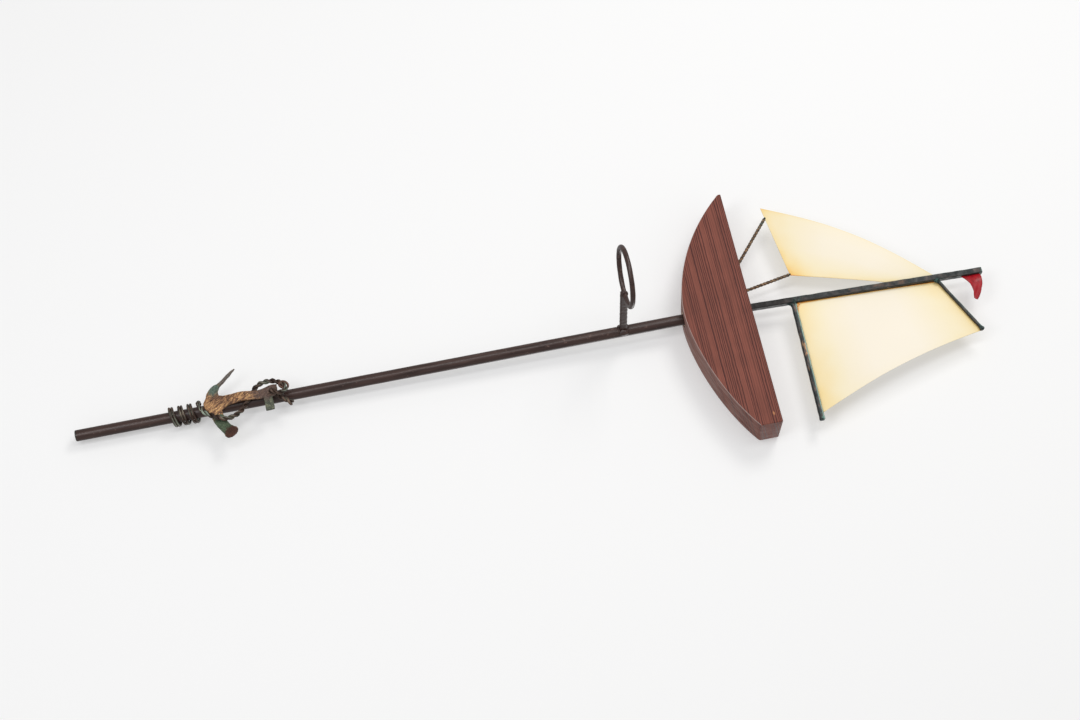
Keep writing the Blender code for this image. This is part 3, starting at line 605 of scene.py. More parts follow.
def tube(name, line, radius, around=12, seed=3, wander=0.0, uv_step=None):
    """Circle of the given radius at each point carried along a line."""
    ring = rays(*frames(line), around)
    points = line[:, None] + np.broadcast_to(radius, len(line))[:, None, None] * ring
    points = points + uneven(points, 0.004, wander, seed)[..., None] * ring
    uv = None
    if uv_step is not None:
        place = np.arange(len(line)) * uv_step
        uv = np.stack(np.broadcast_arrays(place[:, None], np.linspace(0, 1, around + 1) * 0.006), -1)
    return surface(name, points, uv=uv, sharp=70.0)


def collar(name, foot, out, half, surface_radius, bead):
    """Bead round a square bar's foot on a round pole.

    The line runs round the bar's outline, (x, z) = half (outline), and sits on
    the pole: depth = sqrt(R^2 - x^2).
    """
    outline = squarish(4.0, 96) * half
    across = np.array([-out[1], out[0], 0.0])
    depth = np.sqrt(np.maximum(surface_radius ** 2 - outline[:, 0] ** 2, 0.0))
    line = foot + outline[:, :1] * across + outline[:, 1:] * np.array([0, 0, 1.0]) + depth[:,
        None] * out
    turn = np.linspace(0, 2 * math.pi, 96, endpoint=False)
    tangent = norm(np.roll(line, -1, 0) - np.roll(line, 1, 0))
    side = norm(np.cross(tangent, out))
    ring = rays(side, np.cross(side, tangent), 14)
    thick = bead * (1 + 0.16 * np.sin(17 * turn) + 0.12 * np.sin(3 * turn + 1))
    return surface(name, line[:, None] + thick[:, None, None] * ring, along=True, ends=False,
        sharp=80.0)


def lump(name, centre, halves, first, second, seed, rough=0.16):
    """Uneven ball: centre + a cos v cos u, b cos v sin u, c sin v along three axes."""
    a = norm(first)
    b = norm(np.asarray(second, float) - a * np.dot(second, a))
    c = np.cross(a, b)
    u = np.linspace(0, 2 * math.pi, 36, endpoint=False)[None, :]
    v = np.linspace(-math.pi / 2 + 0.02, math.pi / 2 - 0.02, 22)[:, None]
    parts = [np.cos(v) * np.cos(u), np.cos(v) * np.sin(u), np.sin(v) * np.ones_like(u)]
    shape = sum(p[..., None] * h * w for p, h, w in zip(parts, halves, (a, b, c)))
    size = 1 + uneven(shape, 1.6 * min(halves), rough, seed)
    return surface(name, np.asarray(centre) + shape * size[..., None], sharp=80.0)


finish(collar("arm_weld_collar", arm_foot, ring_out, arm_side / 2 + 0.0014, pole_radius + 0.0002,
    0.0016), brown, "post", "brown_paint")
saddle = arm_foot + ring_out * (pole_radius - 0.0032) + np.array([0.0012, 0.0, -0.0004])
finish(lump("arm_weld_saddle", saddle, (0.0052, 0.0065, 0.0064), ring_out, (0, 0, 1), 32, 0.07), brown,
    "post", "brown_paint")
ring_meet = arm_foot + ring_out * (ring_reach - ring_radius) + np.array([0.0, 0.0, 0.0004])
finish(lump("ring_weld", ring_meet + ring_out * -0.0006, (0.0054, 0.0036, 0.0040), ring_out, (1, 0, 0),
    31, 0.08), brown, "post", "brown_paint")

# %% [markdown]
# ## Stained softwood
#
# The hull is sawn from a straight-grained softwood board and stained red
# brown. Each year's growth leaves a pale wide band and a thin dark one, about
# 2.5 mm apart here, in groups with plainer wood between. The pattern is solid:
# it is worked out from depth below the deck, so the lines run through to the
# stern's end grain and the sawn keel, as in a real board.

# %% Wood material


def softwood():
    """Growth lines: dark where the fraction of depth / 2.5 mm passes 0.6.

    Slow noise makes the years uneven and bends the lines. A row of stops
    leaves plainer wood between groups of years. The sawn ends and keel are
    dust-coloured and also painted lighter, standing in for light that falls on
    them, and the front lower edge carries a painted highlight.
    """
    year_gap, share_depth = 0.00250, 0.080
    made, tree, shader = new_material("stained_softwood", Specular_IOR_Level=0.28)
    where = add(tree, "TexCoord").outputs["Object"]
    split = add(tree, "SeparateXYZ", {0: where})
    fall = add(tree, "Math", {0: split.outputs["X"], 1: math.tan(deck_fall)}, operation="MULTIPLY")
    level = add(tree, "Math", {0: split.outputs["Z"], 1: fall}, operation="ADD")
    depth = add(tree, "Math", {0: deck_height, 1: level}, operation="SUBTRACT")
    lean = add(tree, "Math", {0: split.outputs["Y"], 1: 0.22, 2: depth}, operation="MULTIPLY_ADD")
    slow = add(tree, "Mapping", {"Vector": where, "Scale": (3.0, 14.0, 26.0)})
    drift = add(tree, "TexNoise", {"Vector": slow, "Scale": 1.0, "Detail": 2.0})
    torn_way = add(tree, "Mapping", {"Vector": where, "Scale": (130.0, 60.0, 420.0)})
    torn = add(tree, "TexNoise", {"Vector": torn_way, "Scale": 1.0, "Detail": 1.0})
    jagged = add(tree, "Math", {0: torn, 1: 0.0009, 2: lean}, operation="MULTIPLY_ADD")
    sway = add(tree, "Math", {0: drift, 1: 0.0030, 2: jagged}, operation="MULTIPLY_ADD")
    wet_dry = add(tree, "TexNoise", {"W": sway, "Scale": 150.0, "Detail": 1.0}, noise_dimensions="1D")
    spaced = add(tree, "Math", {0: wet_dry, 1: 0.0042, 2: sway}, operation="MULTIPLY_ADD")
    years = add(tree, "Math", {0: spaced, 1: 1 / year_gap}, operation="MULTIPLY")
    year = add(tree, "Math", {0: years}, operation="FLOOR")
    lot = add(tree, "TexWhiteNoise", {"W": year}, noise_dimensions="1D")
    strength = add(tree, "MapRange", {"Value": lot, "To": (0.70, 1.35)})
    season = add(tree, "Math", {0: years}, operation="FRACT")
    line = add(tree, "ValToRGB", {"Fac": season}, stops=[(0.0, 0.0), (0.36, 0.14), (0.62, 0.9),
        (0.84, 1.0), (1.0, 0.0)])
    share = add(tree, "Math", {0: sway, 1: 1 / share_depth}, operation="MULTIPLY")
    groups = add(tree, "ValToRGB", {"Fac": share}, stops=[(0.0, 1.0), (0.13, 1.0), (0.16, 0.20),
        (0.215, 0.26), (0.24, 1.0), (0.31, 0.9), (0.34, 0.28), (0.375, 0.24), (0.40, 1.0), (0.60, 1.0),
        (0.63, 0.22), (0.66, 0.30), (0.69, 1.0), (0.82, 0.9), (0.86, 0.35), (1.0, 0.8)])
    dark = add(tree, "Math", {0: line, 1: groups}, operation="MULTIPLY")
    dark = add(tree, "Math", {0: dark, 1: strength}, operation="MULTIPLY", use_clamp=True)
    fibre_way = add(tree, "Mapping", {"Vector": where, "Scale": (22.0, 700.0, 1100.0)})
    fibre = add(tree, "TexNoise", {"Vector": fibre_way, "Scale": 1.0, "Detail": 4.0, "Roughness": 0.65})
    patch = add(tree, "TexNoise", {"Vector": where, "Scale": 38.0, "Detail": 3.0})
    tone = add(tree, "Mix", {"Factor": dark, "A": paint("854D40"), "B": paint("410F08")})
    fine = add(tree, "ValToRGB", {"Fac": fibre}, stops=[(0.25, 0.66), (0.50, 1.0), (0.8, 1.24)])
    grained = add(tree, "Mix", {"Factor": 1.0, "A": tone, "B": fine}, blend_type="MULTIPLY")
    soft = add(tree, "ValToRGB", {"Fac": patch}, stops=[(0.3, 0.90), (0.7, 1.08)])
    cloudy = add(tree, "Mix", {"Factor": 1.0, "A": grained, "B": soft}, blend_type="MULTIPLY")
    faces = add(tree, "NewGeometry")
    facing = add(tree, "VectorMath", {0: faces.outputs["Normal"]}, operation="ABSOLUTE")
    sides = add(tree, "SeparateXYZ", {0: facing})
    # Sawn ends and keel: a pale dust colour that is also painted light, lighter on faces turned further
    # down and streaked along the saw marks.
    keelward = add(tree, "MapRange", {"Value": sides.outputs["Z"], "From": (0.78, 1.0),
        "To": (0.17, 0.60)})
    sawn = add(tree, "MapRange", {"Value": sides.outputs["Y"], "From": (0.25, 0.75), "To": (1.0, 0.0)})
    sawn = add(tree, "Math", {0: sawn, 1: keelward}, operation="MULTIPLY")
    blotch = add(tree, "TexNoise", {"Vector": where, "Scale": 240.0, "Detail": 4.0, "Roughness": 0.7})
    saw_way = add(tree, "Mapping", {"Vector": where, "Scale": (34.0, 330.0, 70.0)})
    saw_mark = add(tree, "TexNoise", {"Vector": saw_way, "Scale": 1.0, "Detail": 4.0, "Roughness": 0.6})
    marked = add(tree, "MapRange", {"Value": saw_mark, "From": (0.38, 0.62), "To": (0.25, 1.75)})
    sawn = add(tree, "Math", {0: sawn, 1: marked}, operation="MULTIPLY", use_clamp=True)
    dust_and_light = add(tree, "Mix", {"Factor": sawn, "A": cloudy, "B": paint("A5837A")})
    # Painted highlight: a pale line along the rounded lower edge of the front face.
    painted_edge_highlight = add(tree, "MapRange", {"Value": split.outputs["Y"], "From": (-0.0219, -0.0203),
        "To": (0.85, 0.0)})
    turned = add(tree, "MapRange", {"Value": sides.outputs["Z"], "From": (0.25, 0.55)})
    painted_edge_highlight = add(tree, "Math", {0: painted_edge_highlight, 1: turned}, operation="MULTIPLY")
    level_up = add(tree, "MapRange", {"Value": depth, "From": (0.004, 0.008)})
    painted_edge_highlight = add(tree, "Math", {0: painted_edge_highlight, 1: level_up}, operation="MULTIPLY")
    dust_and_light = add(tree, "Mix", {"Factor": painted_edge_highlight, "A": dust_and_light, "B": paint("C4AFA9")})
    shown = dust_and_light
    long_spot = add(tree, "Mapping", {"Vector": where, "Scale": (0.42, 1.0, 1.0)})
    gap = add(tree, "VectorMath", {0: long_spot, 1: (0.1425 * 0.42, -0.0220, 0.7560)},
        operation="DISTANCE")
    rim = add(tree, "Math", {0: blotch, 1: 0.0016, 2: gap.outputs["Value"]}, operation="MULTIPLY_ADD")
    chip = add(tree, "MapRange", {"Value": rim, "From": (0.0014, 0.0021), "To": (0.9, 0.0)})
    shown = add(tree, "Mix", {"Factor": chip, "A": shown, "B": paint("BE8257")})
    rough = add(tree, "MapRange", {"Value": dark, "To": (0.70, 0.52)})
    relief = add(tree, "Math", {0: fibre, 1: dark}, operation="ADD")
    bump = add(tree, "Bump", {"Height": relief, "Strength": 0.35, "Distance": 0.00025})
    feed(shader, {"Base Color": shown, "Roughness": rough, "Normal": bump})
    return made


wood = softwood()

# %% [markdown]
# ## The hull
#
# A 44 mm board sawn to a boat's profile. Its height at any x is the gap
# between a straight deck and a keel of two cubic sweeps, so the whole hull is
# a rounded rectangle carried from bow to stern while its height changes. The
# bore for the pole's bush and the mast's socket are then cut out of it.

# %% Hull


def sweep(corners, count):
    """Cubic sweep: (1-t)^3 a + 3(1-t)^2 t b + 3(1-t) t^2 c + t^3 d."""
    t = np.linspace(0, 1, count)[:, None]
    a, b, c, d = (np.array(p) for p in corners)
    return (1 - t) ** 3 * a + 3 * (1 - t) ** 2 * t * b + 3 * (1 - t) * t ** 2 * c + t ** 3 * d


def keel_line():
    """X and Z along the keel, bow to stern."""
    fore = -bow_x
    transom = deck_z(stern_x) - 0.3225 * hull_depth
    lowest = 0.038 * stern_x
    bow_low = deck_z(bow_x) - 0.0366 * hull_depth
    front = [(bow_x, bow_low), (bow_x + 0.364 * fore, bow_low - 0.766 * hull_depth),
        (lowest - 0.233 * fore, keel_height), (lowest, keel_height)]
    back = [(lowest, keel_height), (lowest + 0.228 * stern_x, keel_height),
        (0.7 * stern_x, transom - 0.434 * hull_depth), (stern_x, transom)]
    return np.concatenate([sweep(front, 80), sweep(back, 80)[1:]])


hull_sharp = 38.0  # degrees; a sharper edge stays a crease


def hull_board():
    """Rounded rectangle at each station: deck, front face, keel edge, back face."""
    keel = keel_line()
    edge, nose_gap, stations, board_half, keel_lean = 0.0009, 0.0008, 190, 0.022, 0.0021
    f = np.linspace(0, math.pi / 2, 6)
    nose = bow_x + nose_gap
    start = nose + edge * (1 - np.cos(f))
    stop = stern_x - edge * (1 - np.cos(f))[::-1]
    x = np.concatenate([start, np.linspace(nose + edge, stern_x - edge, stations)[1:-1], stop])
    inset = np.concatenate([edge * (1 - np.sin(f)), np.zeros(stations - 2),
        edge * (1 - np.sin(f))[::-1]])
    inset = np.where(x < bow_x + 0.01, inset * 0.5, inset)
    top = deck_z(x) - inset
    low = np.interp(x, keel[:, 0], keel[:, 1]) + inset
    tilt = np.gradient(low, x)
    lean = keel_lean * np.sqrt(1 + tilt ** 2)
    half = board_half - inset
    tall = np.maximum(top - low, 0.0006)
    lean = np.minimum(lean, 0.8 * tall)
    corner = np.minimum(edge, 0.3 * tall)
    q = np.linspace(0, math.pi / 2, 5)
    c, s = 1 - np.cos(q), 1 - np.sin(q)
    rise = np.linspace(0, 1, 26)[1:-1]
    runs = np.linspace(0, 1, 14)[1:-1]

    def pair(y, z):
        """Points with these y and z at every station."""
        return np.stack([np.broadcast_to(x[:, None], y.shape), y, z], -1)

    r, h, t = corner[:, None], half[:, None], top[:, None]
    fl, bl = low[:, None], (low + lean)[:, None]
    loops = [pair(-h + r * c[::-1], t - r * s[::-1]), pair(-h * np.ones_like(rise),
        (t - r) + (fl - t + 2 * r) * rise), pair(-h + r * c, fl + r * s),
        pair(-(h - r) + 2 * (h - r) * runs, fl + (bl - fl) * runs),
        pair(h - r * c[::-1], bl + r * s[::-1]), pair(h * np.ones_like(rise),
        (bl + r) + (t - bl - 2 * r) * rise), pair(h - r * c, t - r * s),
        pair((h - r) - 2 * (h - r) * runs, t * np.ones_like(runs)),]
    points = np.concatenate(loops, 1)
    return surface("hull_board", points, sharp=hull_sharp)


hull = hull_board()
print("hull stands", hull.dimensions[:])

# %% Bore and sockets


def cut_out(piece, cutters):
    """Take the cutters' shapes out of the piece, then throw the cutters away."""
    for cutter in cutters:
        hole = piece.modifiers.new("hole", "BOOLEAN")
        hole.operation = "DIFFERENCE"
        hole.solver = "EXACT"
        hole.object = cutter
    settled(piece)
    for cutter in cutters:
        bpy.data.objects.remove(cutter, do_unlink=True)


bush_low, bush_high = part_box("hull_bush")
disc_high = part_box("thrust_disc")[1]
bore_radius = bush_high[0] + 0.0003
bore = round_bar("bore_cutter", np.array([0, 0, keel_height - 0.02]), pole_way,
    disc_high[2] + 0.0003 - keel_height + 0.02, bore_radius, 1, 0.0, count=4)
socket = square_bar("socket_cutter", on_mast(-0.013, 0), on_mast(0.01, 0), mast_side + 0.0006,
    (1, 0, 0), 1, wander=0.0)
cut_out(hull, [bore, socket])
hull.data.set_sharp_from_angle(angle=math.radians(hull_sharp))
finish(hull, wood, "vane", "stained_wood", "hull")

# %% [markdown]
# ## Patinated bar
#
# Mast, boom and gaff are mild steel bar treated with an acid patina: nearly
# black, with purple-brown copper streaks along the flats, grey-green verdigris
# on the edges and bright teal where it pooled at welds and cut ends. It is
# metal under a thin mineral skin, so it is partly metallic and unevenly glossy.

# %% Patina material


def patina(name, pools, bare, rim=(0.0, 0.001, 0.0), metallic=0.5, shine=0.5,
        soot_and_shade=((0.0, 0.0), (1.0, 0.0))):
    """Streaks along the bar from its own UV, with teal pools at given places.

    pools and bare are stops (share of 0.3 m along the bar, amount) for
    verdigris and rubbed copper; the stops for black work the same way, and low
    on the mast that near-black is painted shade as well as dark patina. rim
    is (place round the bar, half width, amount) of a pale green line.
    """
    bar_run = 0.3
    made, tree, shader = new_material(name, Metallic=metallic, Specular_IOR_Level=shine)
    place = add(tree, "UVMap", uv_map="place")
    long_way = add(tree, "Mapping", {"Vector": place, "Scale": (70.0, 520.0, 1.0)})
    streak = add(tree, "TexNoise", {"Vector": long_way, "Scale": 1.0, "Detail": 5.0, "Roughness": 0.62,
        "Distortion": 0.4})
    skin = add(tree, "ValToRGB", {"Fac": streak}, stops=[(0.30, paint("0D1011")),
        (0.44, paint("1E2425")), (0.54, paint("343332")), (0.62, paint("4C3E38")),
        (0.72, paint("66503F"))])
    short_way = add(tree, "Mapping", {"Vector": place, "Scale": (160.0, 420.0, 1.0),
        "Location": (3.0, 7.0, 0.0)})
    bloom = add(tree, "TexNoise", {"Vector": short_way, "Scale": 1.0, "Detail": 4.0, "Roughness": 0.7})
    split = add(tree, "SeparateXYZ", {0: place})
    along = add(tree, "Math", {0: split.outputs["X"], 1: 1 / bar_run}, operation="MULTIPLY")
    pooled = add(tree, "ValToRGB", {"Fac": along}, stops=pools)
    limit = add(tree, "Math", {0: bloom, 1: pooled}, operation="ADD")
    green = add(tree, "MapRange", {"Value": limit, "From": (0.62, 0.86)},
        interpolation_type="SMOOTHSTEP")
    hue = add(tree, "ValToRGB", {"Fac": bloom}, stops=[(0.3, paint("1F3A3C")), (0.5, paint("3E625E")),
        (0.7, paint("74988C"))])
    covered = add(tree, "Mix", {"Factor": green, "A": skin, "B": hue})
    wear_way = add(tree, "Mapping", {"Vector": place, "Scale": (110.0, 900.0, 1.0),
        "Location": (11.0, 2.0, 0.0)})
    wear = add(tree, "TexNoise", {"Vector": wear_way, "Scale": 1.0, "Detail": 3.0})
    rubbed = add(tree, "ValToRGB", {"Fac": along}, stops=bare)
    worn = add(tree, "Math", {0: wear, 1: rubbed}, operation="ADD")
    shown = add(tree, "MapRange", {"Value": worn, "From": (0.72, 0.80)})
    final = add(tree, "Mix", {"Factor": shown, "A": covered, "B": paint("9A7350")})
    off = add(tree, "Math", {0: split.outputs["Y"], 1: rim[0]}, operation="SUBTRACT")
    off = add(tree, "Math", {0: off}, operation="ABSOLUTE")
    near = add(tree, "MapRange", {"Value": off, "From Max": rim[1], "To": (rim[2], 0.0)},
        interpolation_type="SMOOTHSTEP")
    broken = add(tree, "MapRange", {"Value": bloom, "From": (0.32, 0.50)})
    rimmed = add(tree, "Math", {0: near, 1: broken}, operation="MULTIPLY")
    final = add(tree, "Mix", {"Factor": rimmed, "A": final, "B": paint("9DBFB3")})
    # Near black where the black stops say: dark patina, and painted shade low on the mast.
    black = add(tree, "ValToRGB", {"Fac": along}, stops=soot_and_shade)
    final = add(tree, "Mix", {"Factor": black, "A": final, "B": paint("120C0A")})
    gloss = add(tree, "MapRange", {"Value": bloom, "From": (0.3, 0.7), "To": (0.28, 0.62)})
    bump = add(tree, "Bump", {"Height": bloom, "Strength": 0.4, "Distance": 0.0004})
    feed(shader, {"Base Color": final, "Roughness": gloss, "Normal": bump})
    return made


# The mast's black lower part, from the deck up to the boom, is partly painted shade and partly dark
# patina.
mast_patina = patina("acid_patina_mast", [(0.0, 0.0), (0.21, 0.0), (0.225, 0.14), (0.25, 0.06),
    (0.32, 0.0), (0.74, 0.0), (0.79, 0.10), (0.82, 0.0), (0.93, 0.02), (0.95, 0.12), (1.0, 0.4)],
    [(0.0, 0.0), (0.3, 0.0), (0.45, 0.09), (0.65, 0.04), (0.9, 0.02)],
    rim=(2.6 * mast_side, 0.0022, 0.42), metallic=0.1, shine=0.25,
    soot_and_shade=((0.0, 0.80), (0.20, 0.80), (0.235, 0.25), (0.32, 0.0)))
boom_patina = patina("acid_patina_boom", [(0.0, 0.22), (0.04, 0.10), (0.09, 0.0), (0.42, 0.0),
    (0.49, 0.10), (0.52, 0.25)], [(0.0, 0.0), (0.12, 0.0), (0.16, 0.20), (0.24, 0.16), (0.34, 0.10),
    (0.40, 0.0)], rim=(1.62 * boom_side, 0.0019, 1.0))
gaff_patina = patina("acid_patina_gaff", [(0.0, 0.18), (0.05, 0.02), (0.24, 0.04), (0.28, 0.2)],
    [(0.0, 0.0), (0.1, 0.04), (0.3, 0.0)], rim=(1.5 * gaff_side, 0.0014, 0.8))

# %% [markdown]
# ## Mast, boom and gaff
#
# Three lengths of square bar. The boom and the gaff were cut hot, which left
# small swollen ends. Because they are welded on, each runs a little way into
# the mast here, and a weld covers the corner.

# %% Spars
mast_let_in, paint_film = 0.0127, 0.0003
mast = square_bar("mast_bar", on_mast(-mast_let_in, 0), on_mast(mast_height - 0.0001, 0),
    mast_side + paint_film, (1, 0, 0), 41, power=12.0, edge=0.0006)
finish(mast, mast_patina, "vane", "patina_bar", "mast")
boom = square_bar("boom_bar", boom_root, boom_root + boom_way * boom_length, boom_side, (0, 1, 0), 42,
    power=5.0, knob=0.08, edge=0.0016)
finish(boom, boom_patina, "vane", "patina_bar", "boom")
gaff = square_bar("gaff_bar", gaff_root, gaff_root + gaff_way * gaff_length, gaff_side, (0, 1, 0), 43,
    power=4.0, knob=0.50, edge=0.0012)
finish(gaff, gaff_patina, "vane", "patina_bar", "gaff")

# %% [markdown]
# ## Spar welds
#
# On the deck side of the boom the weld has run into a hollow fillet. Its
# section is a quadratic sweep between the two bars with the corner as its
# control point: corner + a (1-t)^2 + b t^2. On the front a lump of weld lies
# over each joint, bright with verdigris.

# %% Fillets


def fillet(name, corner, way_a, way_b, width, seed):
    """Hollow fillet in the corner of two bars, carried across their width.

    way_a and way_b run along the bars and are as long as the fillet reaches.
    """
    way_a, way_b = np.asarray(way_a, float), np.asarray(way_b, float)
    t = np.linspace(0, 1, 15)[:, None]
    hollow = corner + way_a * (1 - t) ** 2 + way_b * t ** 2
    inside = corner - norm(way_a) * 0.0012 - norm(way_b) * 0.0012
    root = np.stack([corner + way_b - norm(way_a) * 0.0012, inside,
        corner + way_a - norm(way_b) * 0.0012])
    section = np.concatenate([hollow, root])
    w = np.sin(np.linspace(-math.pi / 2, math.pi / 2, 15))
    squeeze = 0.55 + 0.45 * np.sqrt(np.maximum(1 - w ** 2, 0.0))
    points = inside + (section - inside)[None] * squeeze[:, None, None]
    points = points + (w * width / 2)[:, None, None] * front_way
    push = uneven(points, 0.004, 0.00018, seed)[..., None] * norm(way_a + way_b)
    return surface(name, points + push, sharp=60.0)


def object_patina(name, stops, spots, rough=(0.4, 0.75), metallic=0.45, wavelength=0.004, stretch=1.0):
    """Mineral skin by place in the frame: mottled base and soft round spots.

    A spot is (centre, inner radius, outer radius, colour, amount). stretch
    draws the mottling out into strokes that climb towards -X.
    """
    made, tree, shader = new_material(name, Metallic=metallic, Specular_IOR_Level=0.5)
    where = add(tree, "TexCoord").outputs["Object"]
    turned = add(tree, "Mapping", {"Vector": where, "Rotation": (0.0, math.radians(32), 0.0)})
    drawn = add(tree, "Mapping", {"Vector": turned, "Scale": (1.0, 1.0, 1 / stretch)})
    mottle = add(tree, "TexNoise", {"Vector": drawn, "Scale": 1 / wavelength, "Detail": 5.0,
        "Roughness": 0.65, "Distortion": 0.6})
    colour = add(tree, "ValToRGB", {"Fac": mottle}, stops=stops)
    ragged = add(tree, "TexNoise", {"Vector": where, "Scale": 420.0, "Detail": 4.0})
    for centre, inner, outer, tint, amount in spots:
        gap = add(tree, "VectorMath", {0: where, 1: centre}, operation="DISTANCE")
        torn = add(tree, "Math", {0: ragged, 1: outer, 2: gap.outputs["Value"]},
            operation="MULTIPLY_ADD")
        mask = add(tree, "MapRange", {"Value": torn, "From": (inner + outer * 0.5, outer * 1.5),
            "To": (amount, 0.0)}, interpolation_type="SMOOTHSTEP")
        colour = add(tree, "Mix", {"Factor": mask, "A": colour, "B": paint(tint)})
    speck = add(tree, "TexNoise", {"Vector": where, "Scale": 640.0, "Detail": 4.0, "Roughness": 0.7})
    shade = add(tree, "ValToRGB", {"Fac": speck}, stops=[(0.34, 0.50), (0.5, 0.95), (0.66, 1.55)])
    colour = add(tree, "Mix", {"Factor": 1.0, "A": colour, "B": shade}, blend_type="MULTIPLY")
    gloss = add(tree, "MapRange", {"Value": mottle, "From": (0.3, 0.7), "To": (rough[0], rough[1])})
    bump = add(tree, "Bump", {"Height": mottle, "Strength": 0.5, "Distance": 0.0005})
    feed(shader, {"Base Color": colour, "Roughness": gloss, "Normal": bump})
    return made


boom_corner = boom_root + aft_way * (mast_side / 2) - boom_over * (boom_side / 2)
gaff_corner = gaff_root + aft_way * (mast_side / 2) - gaff_over * (gaff_side / 2)
verdigris = object_patina("verdigris_weld", [(0.3, paint("101515")), (0.5, paint("22302E")),
    (0.72, paint("4F746C"))], [(tuple(boom_corner + front_way * 0.002), 0.0, 0.004, "1A1C1C", 0.8)])
finish(fillet("boom_weld_fillet", boom_corner, aft_way * 0.0072, mast_way * -0.0084, boom_side * 0.92,
    51), verdigris, "vane", "patina_bar")
finish(lump("boom_weld_lump", boom_root + aft_way * 0.0026 + front_way * 0.0018 + mast_way * 0.0006,
    (0.0044, 0.0031, 0.0022), aft_way, mast_way, 52, 0.12), verdigris, "vane", "patina_bar")
finish(lump("gaff_weld_lump", gaff_root + aft_way * 0.0030 + front_way * 0.0012,
    (0.0042, 0.0034, 0.0024), gaff_way, gaff_over, 53, 0.12), verdigris, "vane", "patina_bar")

# %% [markdown]
# ## Airbrushed sails
#
# The sails are thin sheet steel, sprayed cream and then airbrushed amber
# towards the edges, so the colour fades over 15 to 25 mm with no hard line.
# The fade follows the sail's own UV map: u runs from the luff to the leech, v
# from the foot to the head. The paint is satin with a very fine orange peel.

# %% Sail paint


def airbrushed(name, across, upward, both_ways):
    """Cream to amber by the sum of three fades: along u, along v, and their mix.

    across and upward are stops on u and v; both_ways are stops on
    (u - v + 1) / 2, which reaches its ends at two opposite corners.
    """
    made, tree, shader = new_material(name, Metallic=0.0, Roughness=0.46, Specular_IOR_Level=0.45)
    split = add(tree, "SeparateXYZ", {0: add(tree, "UVMap", uv_map="place")})
    where = add(tree, "TexCoord").outputs["Object"]
    cloud = add(tree, "TexNoise", {"Vector": where, "Scale": 22.0, "Detail": 2.0})
    first = add(tree, "ValToRGB", {"Fac": split.outputs["X"]}, stops=across)
    second = add(tree, "ValToRGB", {"Fac": split.outputs["Y"]}, stops=upward)
    skew = add(tree, "Math", {0: split.outputs["X"], 1: split.outputs["Y"]}, operation="SUBTRACT")
    centred = add(tree, "Math", {0: skew, 1: 0.5, 2: 0.5}, operation="MULTIPLY_ADD")
    third = add(tree, "ValToRGB", {"Fac": centred}, stops=both_ways)
    total = add(tree, "Math", {0: first, 1: second}, operation="ADD")
    total = add(tree, "Math", {0: total, 1: third}, operation="ADD")
    puff = add(tree, "MapRange", {"Value": cloud, "From": (0.3, 0.7), "To": (0.8, 1.2)})
    amount = add(tree, "Math", {0: total, 1: puff}, operation="MULTIPLY")
    colour = add(tree, "ValToRGB", {"Fac": amount}, stops=[(0.0, paint("F3EAD8")),
        (0.25, paint("F3E6C3")), (0.5, paint("F3DBA0")), (0.72, paint("F0C671")),
        (1.0, paint("E59230"))])
    peel = add(tree, "TexNoise", {"Vector": where, "Scale": 900.0, "Detail": 2.0})
    bump = add(tree, "Bump", {"Height": peel, "Strength": 0.12, "Distance": 0.0002})
    feed(shader, {"Base Color": colour, "Normal": bump})
    return made


main_paint = airbrushed("airbrushed_mainsail", [(0.0, 1.0), (0.009, 0.75), (0.018, 0.08), (0.10, 0.03),
    (0.28, 0.0), (0.9, 0.0), (1.0, 0.05)], [(0.0, 0.46), (0.06, 0.34), (0.20, 0.12), (0.36, 0.0),
    (0.64, 0.0), (0.82, 0.17), (0.955, 0.38), (0.985, 0.58), (1.0, 0.85)],
    [(0.0, 0.14), (0.22, 0.0), (0.76, 0.0), (0.88, 0.02), (1.0, 0.06)])
jib_paint = airbrushed("airbrushed_jib", [(0.0, 0.36), (0.015, 0.14), (0.08, 0.06), (0.3, 0.0),
    (0.58, 0.02), (0.82, 0.18), (0.985, 0.33), (1.0, 0.50)],
    [(0.0, 0.44), (0.05, 0.30), (0.16, 0.18), (0.34, 0.04), (0.7, 0.02), (0.9, 0.12), (1.0, 0.26)],
    [(0.0, 0.0), (0.5, 0.0), (0.75, 0.0), (1.0, -0.05)])

# %% [markdown]
# ## Cutting the sails
#
# A sail is a sheet held between four edge lines. A Coons patch fills them: it
# adds the blend of two opposite edges to the blend of the other two and takes
# away the blend of the corners. The sheet then bellies out to the front, and
# is given its 0.9 mm of steel on both sides of that surface.

# %% Sheet


def edge_line(a, b, bow=0.0, side=(0, 0, 0)):
    """Edge from a to b, bowed sideways by bow sin(pi t)."""
    t = np.linspace(0, 1, 73)[:, None]
    return np.asarray(a) * (1 - t) + np.asarray(b) * t + np.asarray(side) * bow * np.sin(math.pi * t)


def coons(foot, head, luff, leech):
    """(1-v) foot + v head + (1-u) luff + u leech - blend of the four corners."""
    u = np.linspace(0, 1, foot.shape[0])[None, :, None]
    v = np.linspace(0, 1, luff.shape[0])[:, None, None]
    rails = (1 - v) * foot[None] + v * head[None] + (1 - u) * luff[:, None] + u * leech[:, None]
    return rails - ((1 - u) * (1 - v) * foot[0] + u * (1 - v) * foot[-1] + (1 - u) * v * head[
        0] + u * v * head[-1])


def sheet_piece(name, grid, thickness):
    """Closed sheet: a loop of front column, rim and back column for each row.

    Offset = normal thickness / 2, normal = d/du x d/dv.
    """
    normal = norm(np.cross(np.gradient(grid, axis=1), np.gradient(grid, axis=0)))
    front, back = grid - normal * thickness / 2, grid + normal * thickness / 2
    loop = np.concatenate([front, back[:, ::-1]], 1)
    rows, cols = grid.shape[:2]
    v = np.linspace(0, 1, rows)[:, None]
    u = np.linspace(0, 1, cols)
    line = np.concatenate([u, u[::-1], u[:1]])[None, :]
    uv = np.stack(np.broadcast_arrays(line, v), -1)
    made = surface(name, loop, ends=False, uv=uv, sharp=50.0)
    return close_rows(made, rows, cols, uv)


